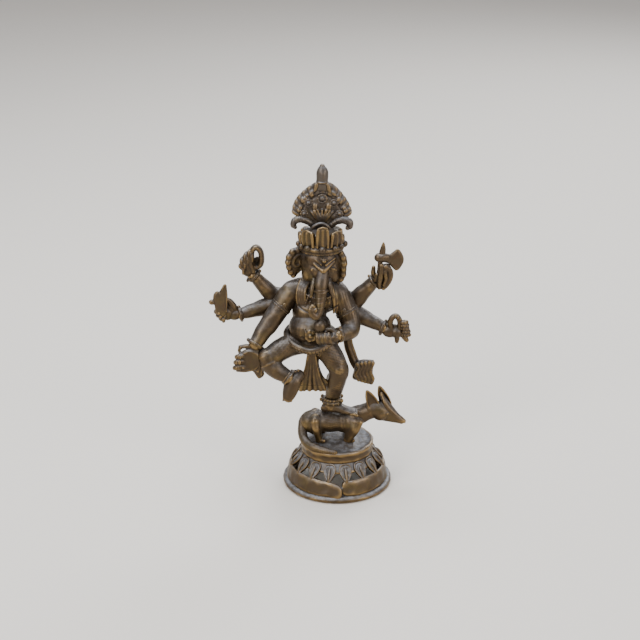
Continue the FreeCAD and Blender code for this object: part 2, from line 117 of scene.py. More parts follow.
def tube(path, sides=20, steps=None, up=None, closed=False, power=2.0, blunt=1.0):
    """A ring of points carried along a smooth path. Path rows are x, y, z, radius, or x, y, z, half width,
    half depth. The ring is cos and sin of its angle, each raised to 2/power, times the two radii. Open
    ends are domes, whose height is blunt times the smaller radius."""
    path = np.array([row if len(row) == 5 else (*row, row[3]) for row in path], float)
    if steps is None:
        run = np.linalg.norm(np.diff(path[:, :3], axis=0), axis=1).sum()
        steps = int(max(8, min(160, run / 0.5)))
    rows = smooth(path, steps, closed)
    centre = rows[:, :3]
    radii = np.maximum(rows[:, 3:5], 0.05)
    if closed:
        tangent = unit(np.roll(centre, -1, 0) - np.roll(centre, 1, 0))
    else:
        tangent = unit(np.gradient(centre, axis=0))
    if up is None:
        _, axes = np.linalg.eigh(tangent.T @ tangent)
        up = axes[:, 0]
    side = unit(np.cross(tangent, np.asarray(up, float)))
    lift = np.cross(side, tangent)
    if not closed:
        rise = np.radians([84.0, 66.0, 44.0, 22.0])
        low, high = [], []
        for turn in rise:
            push = math.sin(turn) * radii.min(1) * blunt
            low.append((centre[0] - tangent[0] * push[0], radii[0] * math.cos(turn)))
            high.append((centre[-1] + tangent[-1] * push[-1], radii[-1] * math.cos(turn)))
        high = high[::-1]
        centre = np.vstack([[c for c, _ in low], centre, [c for c, _ in high]])
        radii = np.vstack([[r for _, r in low], radii, [r for _, r in high]])
        side = np.vstack([[side[0]] * 4, side, [side[-1]] * 4])
        lift = np.vstack([[lift[0]] * 4, lift, [lift[-1]] * 4])
    angle = np.linspace(0, TAU, sides, endpoint=False)
    c = np.sign(np.cos(angle)) * np.abs(np.cos(angle)) ** (2.0 / power)
    s = np.sign(np.sin(angle)) * np.abs(np.sin(angle)) ** (2.0 / power)
    rings = (centre[:, None] + radii[:, 0, None, None] * c[None, :, None] * side[:, None]
             + radii[:, 1, None, None] * s[None, :, None] * lift[:, None])
    if closed:
        return skin(rings, closed=True)
    return skin(rings, centre[0], centre[-1])


def turned(points, x=0.0, y=0.0, z=0.0):
    """Points turned about the X, then Y, then Z axis, in degrees."""
    for axis, degrees in ((0, x), (1, y), (2, z)):
        if degrees:
            c, s = math.cos(math.radians(degrees)), math.sin(math.radians(degrees))
            a, b = (axis + 1) % 3, (axis + 2) % 3
            points = np.array(points, float)
            first, second = points[:, a].copy(), points[:, b].copy()
            points[:, a] = first * c - second * s
            points[:, b] = first * s + second * c
    return points


def ball(centre, radii, turn=(0, 0, 0), sides=28, power=2.0):
    """An ellipsoid: the product of two unit circles, each raised to 2/power, times three half axes."""
    if np.isscalar(radii):
        radii = (radii,) * 3
    lat = np.linspace(-math.pi / 2, math.pi / 2, sides // 2 + 2)[1:-1]
    lon = np.linspace(0, TAU, sides, endpoint=False)
    soften = lambda v: np.sign(v) * np.abs(v) ** (2.0 / power)
    x = soften(np.cos(lat))[:, None] * soften(np.cos(lon))[None]
    y = soften(np.cos(lat))[:, None] * soften(np.sin(lon))[None]
    z = soften(np.sin(lat))[:, None] + 0 * x
    rings = np.stack([x, y, z], -1) * np.asarray(radii, float)
    points, quads, fans = skin(rings, [0, 0, -radii[2]], [0, 0, radii[2]])
    return turned(points, *turn) + np.asarray(centre, float), quads[:, ::-1], fans[:, ::-1]


def leaf(outline, origin, thick=1.0, dome=0.0, cup=0.0, samples=64):
    """A plate that faces -Y: a smooth closed outline of (x, z) points, shrunk in steps to its middle. At a
    share s of the way out the front stands dome*(1-s^2) forward, the back cup*(1-s^2), and the wall's
    thickness falls off as the root of 1-s^6, so the rim is round."""
    edge = smooth(outline, samples, closed=True)
    middle = edge.mean(0)
    share = np.array([0.3, 0.6, 0.8, 0.92, 0.98, 1.0])
    half = 0.5 * thick * np.sqrt(np.maximum(1 - share ** 6, 0.0))
    swell = 1 - share ** 2
    front = -half - dome * swell
    back = half - cup * swell
    share = np.concatenate([share, share[-2::-1]])
    depth = np.concatenate([front, back[-2::-1]])
    flat = middle + share[:, None, None] * (edge - middle)[None]
    rings = np.stack([flat[..., 0], np.broadcast_to(depth[:, None], flat.shape[:2]), flat[..., 1]], -1)
    start = [middle[0], -0.5 * thick - dome, middle[1]]
    end = [middle[0], 0.5 * thick - cup, middle[1]]
    points, quads, fans = skin(rings, start, end)
    area = np.sum(edge[:, 0] * np.roll(edge[:, 1], -1) - np.roll(edge[:, 0], -1) * edge[:, 1])
    if area < 0:
        quads, fans = quads[:, ::-1], fans[:, ::-1]
    return points + np.asarray(origin, float), quads, fans


def hoop(centre, axis, radius, thick, wide=None, lumps=0, lump=0.0, sides=12):
    """A ring round an axis: a circle of the given radius, with a round bar of half thickness thick that
    swells by its share lump at each of the lumps."""
    axis = unit(axis)
    across = unit(np.cross(axis, [0.0, 0.3, 1.0] if abs(axis[1]) > 0.9 else [0.0, 1.0, 0.0]))
    along = np.cross(axis, across)
    angle = np.linspace(0, TAU, 96 if lumps else 48, endpoint=False)
    swell = 1.0 + lump * np.maximum(np.cos(lumps * angle), 0.0) ** 2 if lumps else np.ones_like(angle)
    ring = (np.asarray(centre, float) + radius * np.cos(angle)[:, None] * across
            + radius * np.sin(angle)[:, None] * along)
    path = np.column_stack([ring, thick * swell, (wide or thick) * swell])
    return tube(path, sides=sides, steps=len(angle), up=axis, closed=True)


def row_of_balls(points, radius, count):
    """Round beads along the smooth curve through the points, evenly spaced by its own parameter."""
    return [ball(p, radius, sides=10) for p in smooth(points, count)]


def moved(part, move=(0, 0, 0), **turn):
    """A skin turned about the origin and moved."""
    points, quads, fans = part
    return turned(points, **turn) + np.asarray(move, float), quads, fans


def joined(parts):
    """Several skins as one set of points, quads and triangles."""
    points, quads, fans, total = [], [], [], 0
    for p, q, f in parts:
        points.append(p)
        quads.append(q + total)
        fans.append(f + total)
        total += len(p)
    return np.vstack(points), np.vstack(quads), np.vstack(fans)


# ---------------------------------------------------------------- from skins to finished pieces
def mesh_of(name, points, quads, fans):
    """A mesh from arrays of points, quads and triangles."""
    mesh = bpy.data.meshes.new(name)
    mesh.vertices.add(len(points))
    mesh.vertices.foreach_set("co", np.asarray(points, np.float32).ravel())
    corners = np.concatenate([quads.ravel(), fans.ravel()]).astype(np.int32)
    starts = np.concatenate([np.arange(len(quads)) * 4,
                             4 * len(quads) + np.arange(len(fans)) * 3]).astype(np.int32)
    mesh.loops.add(len(corners))
    mesh.loops.foreach_set("vertex_index", corners)
    mesh.polygons.add(len(starts))
    mesh.polygons.foreach_set("loop_start", starts)
    mesh.update(calc_edges=True)
    mesh.validate()
    return mesh


def points_of(mesh):
    """All points of a mesh, one to a row."""
    points = np.empty(len(mesh.vertices) * 3, np.float32)
    mesh.vertices.foreach_get("co", points)
    return points.reshape(-1, 3).astype(float)


def normals_of(mesh):
    """The outward direction at each point of a mesh."""
    normals = np.empty(len(mesh.vertices) * 3, np.float32)
    mesh.vertex_normals.foreach_get("vector", normals)
    return normals.reshape(-1, 3).astype(float)


def edges_of(mesh):
    """The two point numbers of each edge of a mesh."""
    edges = np.empty(len(mesh.edges) * 2, np.int32)
    mesh.edges.foreach_get("vertices", edges)
    return edges.reshape(-1, 2)


def relaxed(points, edges, rounds, amount=0.5):
    """Each point moves by amount of the way to the mean of its neighbours, for a number of rounds."""
    a, b = edges.T
    n = len(points)
    degree = np.maximum(np.bincount(a, minlength=n) + np.bincount(b, minlength=n), 1)[:, None]
    for _ in range(rounds):
        total = np.stack([np.bincount(a, points[b, k], n) + np.bincount(b, points[a, k],
                                                                        n) for k in range(3)], -1)
        points = points + amount * (total / degree - points)
    return points


def fused(name, parts, voxel, soften, relief=None):
    """Melts overlapping skins into one: they are remeshed on a grid of cubes, each point then moves
    towards the mean of its neighbours and part of the way back, and relief, a function of position and
    outward direction, at last moves each point outwards by the millimetres it gives."""
    rough = mesh_of(name + "_rough", *joined(parts))
    holder = bpy.data.objects.new(name + "_rough", rough)
    bpy.context.scene.collection.objects.link(holder)
    remesh = holder.modifiers.new("Melt", "REMESH")
    remesh.mode = "VOXEL"
    remesh.voxel_size = voxel
    ready = holder.evaluated_get(bpy.context.evaluated_depsgraph_get())
    mesh = bpy.data.meshes.new_from_object(ready)
    bpy.data.objects.remove(holder)
    bpy.data.meshes.remove(rough)
    mesh.name = name
    edges = edges_of(mesh)
    points = points_of(mesh)
    for _ in range(soften):
        points = relaxed(points, edges, 1, 0.6)
        points = relaxed(points, edges, 1, -0.56)
    points = relaxed(points, edges, 3, 0.5)
    mesh.vertices.foreach_set("co", points.astype(np.float32).ravel())
    mesh.update()
    if relief is not None:
        normals = normals_of(mesh)
        points = points + normals * relief(points, normals)[:, None]
        mesh.vertices.foreach_set("co", points.astype(np.float32).ravel())
        mesh.update()
    return mesh


def hand_made(points, size=0.06):
    """Slow unevenness of hand-worked wax: three crossed sine waves of 6 to 11 mm, as millimetres of
    height."""
    x, y, z = points.T
    return size * (np.sin(x * 0.9 + 1.3 * np.sin(z * 0.55)) + np.sin(y * 1.1 + 0.7 * np.sin(x * 0.6))
                   + np.sin(z * 0.75 + 1.1 * np.sin(y * 0.5)))


def wear_of(mesh):
    """How far each point stands out from the surface round it (wear) or lies below it (cavity), in
    millimetres: the point less its smoothed self, along the outward direction, at a fine and a broad
    scale."""
    points = points_of(mesh)
    normals = normals_of(mesh)
    edges = edges_of(mesh)
    fine = relaxed(points, edges, 8, 0.7)
    broad = relaxed(fine, edges, 40, 0.9)
    out_fine = ((points - fine) * normals).sum(1)
    out_broad = ((points - broad) * normals).sum(1)
    return out_fine, out_broad


def set_values(mesh, name, values):
    """Stores one number for each point of the mesh, for the materials to read."""
    layer = mesh.attributes.get(name) or mesh.attributes.new(name, "FLOAT", "POINT")
    layer.data.foreach_set("value", np.asarray(values, np.float32))


made = []


def finish_piece(node, mesh, slot):
    """Works out wear, scales the mesh to metres, gives it its metal and ties it to the frame. Wear is
    counted from the piece's own middle value, so that a thin piece isn't rubbed all over."""
    fine, broad = wear_of(mesh)
    fine, broad = fine - np.median(fine), broad - np.median(broad)
    set_values(mesh, "wear", np.clip(fine / FINE_WEAR, -1, 1) * 0.55
               + np.clip(broad / BROAD_WEAR, -1, 1) * 0.45)
    mesh.vertices.foreach_set("co", (points_of(mesh) * MM).astype(np.float32).ravel())
    mesh.polygons.foreach_set("use_smooth", np.ones(len(mesh.polygons), bool))
    mesh.update()
    piece = bpy.data.objects.new(node + "_cast", mesh)
    bpy.context.scene.collection.objects.link(piece)
    mesh.materials.clear()
    mesh.materials.append(metal(slot))
    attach(piece, "root")
    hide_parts(node)
    made.append(piece)
    return piece


def sculpt(node, parts, slot, voxel=0.26, soften=2, relief=None):
    """Fuses the skins of one cast piece and finishes it. It stands for the CAD node of that name."""
    fineness = bpy.context.scene.statuette_sizes.fineness
    mesh = fused(node, parts, voxel * fineness, soften, relief or (lambda p, n: hand_made(p)))
    return finish_piece(node, mesh, slot)


# ---------------------------------------------------------------- metal
def add_node(tree, kind, values=None, links=None, **settings):
    """A shader node with settings, socket values by name or number, and links from other nodes' sockets."""
    node = tree.nodes.new(kind)
    for key, value in settings.items():
        setattr(node, key, value)
    for key, value in (values or {}).items():
        node.inputs[key].default_value = value
    for key, source in (links or {}).items():
        tree.links.new(source, node.inputs[key])
    return node


def noise(tree, place, scale, detail=3.0, rough=0.55, warp=0.0):
    """Cloudy noise at a place; a scale of 1000 makes clouds about a millimetre wide."""
    return add_node(tree, "ShaderNodeTexNoise",
                    {"Scale": scale, "Detail": detail, "Roughness": rough, "Distortion": warp},
                    {"Vector": place}).outputs["Fac"]


def ramp(tree, source, low, high, to_low=0.0, to_high=1.0):
    """Source spread smoothly from low..high to to_low..to_high."""
    return add_node(tree, "ShaderNodeMapRange", {1: low, 2: high, 3: to_low, 4: to_high}, {0: source},
                    interpolation_type="SMOOTHSTEP").outputs[0]


def sums(tree, operation, a, b):
    """One sum of two values, each a number or another node's socket."""
    node = add_node(tree, "ShaderNodeMath", operation=operation)
    for socket, source in ((0, a), (1, b)):
        if isinstance(source, (int, float)):
            node.inputs[socket].default_value = source
        else:
            tree.links.new(source, node.inputs[socket])
    return node.outputs[0]


def blend_colour(tree, share, a, b):
    """Colour a, turning into colour b as share goes from 0 to 1."""
    node = add_node(tree, "ShaderNodeMix", data_type="RGBA")
    tree.links.new(share, node.inputs[0])
    for socket, source in ((6, a), (7, b)):
        if isinstance(source, tuple):
            node.inputs[socket].default_value = source
        else:
            tree.links.new(source, node.inputs[socket])
    return node.outputs[2]


def patina_group():
    """Aged cast brass: dark patina with olive and red-brown clouds, recesses blackened, high spots rubbed
    golden, a grey-blue bloom on faces that look up, and the pits and grain of an investment casting as a
    height."""
    name = "Aged cast brass"
    if name in bpy.data.node_groups:
        return bpy.data.node_groups[name]
    tree = bpy.data.node_groups.new(name, "ShaderNodeTree")
    for label, kind, value in (
            ("Patina", "NodeSocketColor", (0.1, 0.07, 0.04, 1)),
                               ("Worn", "NodeSocketColor", (0.4, 0.28, 0.12, 1)),
            ("Recess grime and shade", "NodeSocketColor", (0.02, 0.014, 0.009, 1)),
                               ("Dust and sky sheen", "NodeSocketColor", (0.2, 0.2, 0.22, 1)),
            ("Wear amount", "NodeSocketFloat", 0.5), ("Dust and sky sheen amount", "NodeSocketFloat", 0.5)):
        socket = tree.interface.new_socket(label, in_out="INPUT", socket_type=kind)
        socket.default_value = value
    for label, kind in (("Colour", "NodeSocketColor"), ("Roughness", "NodeSocketFloat"),
                        ("Metallic", "NodeSocketFloat"), ("Height", "NodeSocketFloat")):
        tree.interface.new_socket(label, in_out="OUTPUT", socket_type=kind)
    given = tree.nodes.new("NodeGroupInput").outputs
    result = tree.nodes.new("NodeGroupOutput").inputs
    place = add_node(tree, "ShaderNodeTexCoord").outputs["Object"]
    wear = add_node(tree, "ShaderNodeAttribute", attribute_name="wear").outputs["Fac"]
    crevice_shade = add_node(tree, "ShaderNodeAttribute", attribute_name="crevice_shade").outputs["Fac"]
    facing = add_node(tree, "ShaderNodeNewGeometry").outputs["Normal"]
    up = add_node(tree, "ShaderNodeSeparateXYZ", links={0: facing}).outputs["Z"]

    # Clouds about 10 mm wide, spots of 2 mm and grain of less than half a millimetre.
    clouds = noise(tree, place, 95.0, 4.0, 0.6, 0.4)
    spots = noise(tree, place, 420.0, 4.0, 0.65)
    grain = noise(tree, place, 2600.0, 3.0, 0.6)
    olive = ramp(tree, clouds, 0.48, 0.72)
    red = ramp(tree, spots, 0.52, 0.72)
    tone = blend_colour(tree, sums(tree, "MULTIPLY", olive, 0.55), given["Patina"],
                        (0.115, 0.085, 0.030, 1))
    tone = blend_colour(tree, sums(tree, "MULTIPLY", red, 0.45), tone, (0.095, 0.046, 0.026, 1))

    # Rubbed metal: high spots, broken up by clouds and spots, but not where the grime and painted shade
    # lie.
    patchy = sums(tree, "ADD", sums(tree, "MULTIPLY", spots, 0.7), sums(tree, "MULTIPLY", clouds, 0.7))
    rubbed = sums(tree, "ADD", wear, patchy)
    lifted = sums(tree, "SUBTRACT", rubbed, 0.62)
    shine = sums(tree, "MULTIPLY", ramp(tree, lifted, 0.0, 0.85), given["Wear amount"])
    # Grime and painted shade: hollows sunk below their surroundings and crevices between pieces, darkened
    # as shade would fall there, with some grime.
    sunk = ramp(tree, wear, -0.22, -0.95)
    grime_and_shade = sums(tree, "MAXIMUM", sums(tree, "MULTIPLY", sunk, 0.7), ramp(tree, crevice_shade, 0.35, 1.0))
    shine = sums(tree, "MULTIPLY", shine, sums(tree, "SUBTRACT", 1.0, sums(tree, "MULTIPLY", grime_and_shade, 0.8)))
    tone = blend_colour(tree, shine, tone, given["Worn"])
    # Dust and painted sky sheen: a painted reflection of the sky, with some dust and oxide, on faces that
    # look up. It lies on top of the grime and painted shade.
    dust_and_sky_sheen = sums(tree, "MULTIPLY", ramp(tree, up, 0.10, 0.95), ramp(tree, spots, 0.35, 0.68, 0.35, 1.0))
    dust_and_sky_sheen = sums(tree, "MULTIPLY", dust_and_sky_sheen, given["Dust and sky sheen amount"])
    dust_and_sky_sheen = sums(tree, "MULTIPLY", dust_and_sky_sheen, sums(tree, "SUBTRACT", 1.0, sums(tree, "MULTIPLY", shine, 0.5)))
    # Painted shade and grime: the recess colour laid over hollows and crevices.
    tone = blend_colour(tree, sums(tree, "MULTIPLY", grime_and_shade, 0.80), tone, given["Recess grime and shade"])
    tone = blend_colour(tree, dust_and_sky_sheen, tone, given["Dust and sky sheen"])
    speck = ramp(tree, grain, 0.60, 0.74)
    tone = blend_colour(tree, sums(tree, "MULTIPLY", speck, 0.35), tone, given["Recess grime and shade"])
    tree.links.new(tone, result["Colour"])

    rough = sums(tree, "ADD", 0.36, sums(tree, "MULTIPLY", spots, 0.16))
    rough = sums(tree, "ADD", rough, sums(tree, "MULTIPLY", dust_and_sky_sheen, 0.10))
    rough = sums(tree, "ADD", rough, sums(tree, "MULTIPLY", grime_and_shade, 0.22))
    rough = sums(tree, "SUBTRACT", rough, sums(tree, "MULTIPLY", shine, 0.08))
    tree.links.new(rough, result["Roughness"])
    metallic = sums(tree, "SUBTRACT", 0.94, sums(tree, "MULTIPLY", grime_and_shade, 0.30))
    tree.links.new(sums(tree, "SUBTRACT", metallic, sums(tree, "MULTIPLY", dust_and_sky_sheen, 0.55)),
                   result["Metallic"])
    pits = ramp(tree, noise(tree, place, 900.0, 2.0, 0.5), 0.62, 0.78)
    height = sums(tree, "SUBTRACT", sums(tree, "MULTIPLY", grain, 0.5), sums(tree, "MULTIPLY", pits, 0.9))
    height = sums(tree, "ADD", height, sums(tree, "MULTIPLY", spots, 0.8))
    tree.links.new(height, result["Height"])
    return tree


# How each group of pieces differs: patina darkness, wear amount, amount of dust and painted sky sheen, bump
# strength, share of grey (the dust and painted sky sheen colour mixed into the patina all over).
SLOT_LOOKS = {
    "skin_bronze": (0.95, 0.80, 0.55, 0.40, 0.08),
    "cloth_bronze": (0.95, 0.80, 0.45, 0.40, 0.08),
    "ornament_bronze": (0.90, 0.80, 0.40, 0.40, 0.12),
    "hood_bronze": (1.15, 0.55, 0.85, 0.40, 0.40),
    "attribute_bronze": (1.05, 0.80, 0.35, 0.35, 0.10),
    "rat_bronze": (1.15, 0.80, 0.45, 0.40, 0.05),
    "base_bronze": (1.05, 0.85, 1.10, 0.40, 0.08),
}


def metal(slot):
    """The material of one slot: the shared patina group with the slot's own values."""
    name = "aged_" + slot
    if name in bpy.data.materials:
        return bpy.data.materials[name]
    look = bpy.context.scene.statuette_metal
    depth, wear, dust_and_sky_sheen, bump, grey = SLOT_LOOKS[slot]
    material = bpy.data.materials.new(name)
    material.use_nodes = True
    tree = material.node_tree
    shader = tree.nodes["Principled BSDF"]
    shader.inputs["IOR"].default_value = 1.5
    group = add_node(tree, "ShaderNodeGroup", node_tree=patina_group())
    # The slot's grey share mixes the dust and painted sky sheen colour into the patina all over the piece.
    group.inputs["Patina"].default_value = tuple(
        c * depth * (1 - grey) + 0.5 * b * grey for c, b in zip(look.patina, look.dust_and_sky_sheen)) + (1,)
    group.inputs["Worn"].default_value = tuple(look.worn) + (1,)
    group.inputs["Recess grime and shade"].default_value = tuple(look.recess_grime_and_shade) + (1,)
    group.inputs["Dust and sky sheen"].default_value = tuple(look.dust_and_sky_sheen) + (1,)
    group.inputs["Wear amount"].default_value = wear * look.wear_amount
    group.inputs["Dust and sky sheen amount"].default_value = dust_and_sky_sheen * look.dust_and_sky_sheen_amount
    raised = add_node(tree, "ShaderNodeBump", {"Strength": bump, "Distance": GRAIN_DEPTH},
                      {"Height": group.outputs["Height"]})
    tree.links.new(group.outputs["Colour"], shader.inputs["Base Color"])
    tree.links.new(group.outputs["Roughness"], shader.inputs["Roughness"])
    tree.links.new(group.outputs["Metallic"], shader.inputs["Metallic"])
    tree.links.new(raised.outputs["Normal"], shader.inputs["Normal"])
    return material


def paint_crevice_shade(context):
    """Marks crevices between pieces. Every point of every piece marks its 1 mm cell of a box of cells; the
    marks are blurred by running means of 3 and 5 cells along each axis; each point then reads the blurred
    marks 1.6 mm out from itself. The reading runs from 0 at a little over the middle value of all points
    to 1 near the highest."""
    spots = [points_of(p.data) / MM for p in made]
    low = np.min([p.min(0) for p in spots], axis=0) - 8
    size = np.ceil(np.max([p.max(0) for p in spots], axis=0) + 8 - low).astype(int)
    cells = np.zeros(size, np.float32)
    for p in spots:
        i, j, k = np.floor(p - low).astype(int).T
        cells[i, j, k] = 1.0
    for width in (3, 5):
        for axis in range(3):
            total = np.zeros_like(cells)
            for shift in range(-(width // 2), width // 2 + 1):
                total += np.roll(cells, shift, axis)
            cells = total / width
    reads = []
    for piece, p in zip(made, spots):
        i, j, k = np.floor(p + CREVICE_REACH * normals_of(piece.data) - low).astype(int).T
        reads.append(cells[i, j, k])
    usual, most = np.percentile(np.concatenate(reads), (CREVICE_FROM, CREVICE_FULL))
    for piece, read in zip(made, reads):
        set_values(piece.data, "crevice_shade", np.clip((read - usual) / (most - usual), 0, 1))


# ---------------------------------------------------------------- base
def base_parts():
    """The lotus base: rings are closed profiles carried round +Z; petals are leaves with two raised
    outlines and a middle rib, each turned about +Z to its own place."""
    def ring(profile, count=220, wobble=0.0, lift=0.0):
        around = np.linspace(0, TAU, count, endpoint=False)
        section = smooth(profile, 40, closed=True)
        uneven = 1 + wobble * (np.sin(3 * around + 0.4) + 0.6 * np.sin(7 * around))
        r = section[None, :, 0] * uneven[:, None]
        z = section[None, :, 1] + lift * np.sin(4 * around + 1.0)[:, None] * (section[None, :, 1] > 1.0)
        rings = np.stack([r * np.cos(around)[:, None], r * np.sin(around)[:, None], z], -1)
        # Profiles run outwards along the bottom and inwards along the top, so the skin faces out as it is.
        return skin(rings, closed=True)

    flange = ring([(24.7, 0.0), (26.8, 0.0), (28.6, 0.05), (29.5, 0.55), (29.75, 1.5), (29.3, 2.5),
                   (28.3, 3.15),
                   (27.2, 3.05), (26.2, 2.9), (24.9, 2.9), (24.55, 1.5)], wobble=0.0015, lift=0.10)

    # The band is a strip bent round; its ends meet at the seam, thicken and round off.
    seam = math.radians(-85.0)
    gap = 0.008
    t = np.linspace(seam + gap, seam + TAU - gap, 300)
    start, stop = np.exp(-((t - t[0]) / 0.14) ** 2), np.exp(-((t - t[-1]) / 0.22) ** 2)
    corner = 1 - 0.45 * np.exp(-(t - t[0]) / 0.022) - 0.55 * np.exp(-(t[-1] - t) / 0.035)
    angle = np.linspace(0, TAU, 32, endpoint=False)
    c = np.sign(np.cos(angle)) * np.abs(np.cos(angle)) ** 0.55
    s = np.sign(np.sin(angle)) * np.abs(np.sin(angle)) ** 0.55
    high = (4.45 - 0.55 * start - 0.35 * stop) * corner
    mid_z = 7.15 + 0.25 * start - 1.05 * stop + 0.12 * np.sin(5 * t) + 0.18 * np.sin(2 * t + 2.4)
    z = mid_z[:, None] + high[:, None] * s[None]
    radius = 26.05 - 0.55 * start + 1.0 * stop + 0.08 * np.sin(6 * t + 1)
    wall = (0.95 + 0.2 * start + 0.55 * stop) * (0.5 + 0.5 * corner)
    wall = wall * (1 + 0.15 * np.sin(3 * t))
    r = radius[:, None] - 0.19 * (z - 7.0) + wall[:, None] * c[None]
    rings = np.stack([r * np.cos(t)[:, None], r * np.sin(t)[:, None], z], -1)
    ends = [rings[0].mean(0), rings[-1].mean(0)]
    band = skin(rings, *ends)

    collar = ring([(17.0, 18.8), (18.6, 18.9), (20.6, 16.6), (22.1, 14.7), (21.4, 13.9), (19.7, 14.6),
                   (17.6, 17.2)],
                  wobble=0.002)

    petal = [leaf([(0, -5.6), (1.5, -3.6), (3.1, -0.4), (3.35, 2.4), (2.4, 4.6), (0, 5.3), (-2.4, 4.6),
                   (-3.35, 2.4), (-3.1, -0.4), (-1.5, -3.6)], (0, 0, 0), thick=1.5, dome=0.5)]
    for shrink, radius in ((0.92, 0.48), (0.62, 0.40)):
        outline = [(0, -5.6), (1.5, -3.4), (3.0, -0.4), (3.25, 2.3), (2.3, 4.4), (0, 5.0), (-2.3, 4.4),
                   (-3.25, 2.3), (-3.0, -0.4), (-1.5, -3.4)]
        rim = [(x * shrink, -0.85 - 0.45 * (1 - shrink), z * shrink, radius) for x, z in outline]
        petal.append(tube(rim, sides=10, steps=70, closed=True, up=(0, 1, 0)))
    petal.append(tube([(0, -1.3, 2.6, 0.35), (0, -1.7, 0.6, 0.85), (0, -1.7, -2.2, 0.75),
                       (0, -1.3, -5.0, 0.45)],
                      sides=12, steps=16))
    return flange, band, collar, petal


def build_base(context):
    """The flange the statuette rests on, the bent band, the collar and the ring of petals."""
    sizes = context.scene.statuette_sizes
    flange, band, collar, petal = base_parts()
    sculpt("base_flange", [flange], "base_bronze", voxel=0.38, soften=2,
           relief=lambda p, n: hand_made(p, 0.05) * np.clip(p[:, 2] - 0.3, 0, 1))
    sculpt("base_band", [band], "base_bronze", voxel=0.38, soften=2,
           relief=lambda p, n: hand_made(p, 0.07) * np.clip(p[:, 2] - 3.2, 0, 1))
    sculpt("lotus_collar", [collar], "base_bronze", voxel=0.38, soften=2,
           relief=lambda p, n: hand_made(p, 0.05))

    # One petal is fused once; every other is the same petal with its own small turn, size and unevenness.
    one = fused("petal", petal, 0.21 * sizes.fineness, 1)
    points = points_of(one)
    quads = np.empty(len(one.loops), np.int32)
    one.loops.foreach_get("vertex_index", quads)
    lengths = np.empty(len(one.polygons), np.int32)
    one.polygons.foreach_get("loop_total", lengths)
    assert (lengths == 4).all(), "the petal's skin isn't all quads"
    quads = quads.reshape(-1, 4)
    bpy.data.meshes.remove(one)
    shells = []
    random = np.random.default_rng(7)
    for k in range(sizes.petals):
        jitter = random.normal(0, 1, 3)
        place = points * (1 + 0.03 * jitter[0], 1, 1 + 0.02 * jitter[1])
        place = turned(place, x=-37.0 + 1.5 * jitter[2])
        place = place + (0, -21.75, 14.35)
        place = turned(place, z=90 + 360.0 / sizes.petals * (k + 0.5))
        shells.append((place, quads, np.zeros((0, 3), int)))
    finish_piece("lotus_petals", mesh_of("lotus_petals_cast", *joined(shells)), "base_bronze")


def build_plinth(context):
    """The round plinth: its side profile turned about +Z, with a waist below and a rim above a domed
    top."""
    around = np.linspace(0, TAU, 240, endpoint=False)
    profile = [(0.01, 22.6), (8, 22.6), (14.4, 22.5), (16.0, 21.6), (16.6, 18.9), (17.6, 18.3),
               (18.9, 18.5),
               (19.45, 19.6), (19.45, 21.6), (19.9, 23.6), (19.6, 24.7), (18.6, 25.0), (17.7, 24.6),
               (16.2, 24.2),
               (12, 24.6), (7, 25.7), (0.01, 26.0)]
    section = smooth(profile, 90)
    uneven = 1 + 0.004 * np.sin(2 * around + 0.8) + 0.003 * np.sin(5 * around)
    r = np.maximum(section[:, None, 0], 0.01) * uneven[None]
    rings = np.stack([r * np.cos(around), r * np.sin(around), section[:, 1, None] + 0 * r], -1)
    points, quads, fans = skin(rings[:, ::-1], [0, 0, 22.6], [0, 0, 26.0])
    sculpt("plinth", [(points, quads, fans)], "base_bronze", voxel=0.38, soften=2,
           relief=lambda p, n: hand_made(p, 0.08))


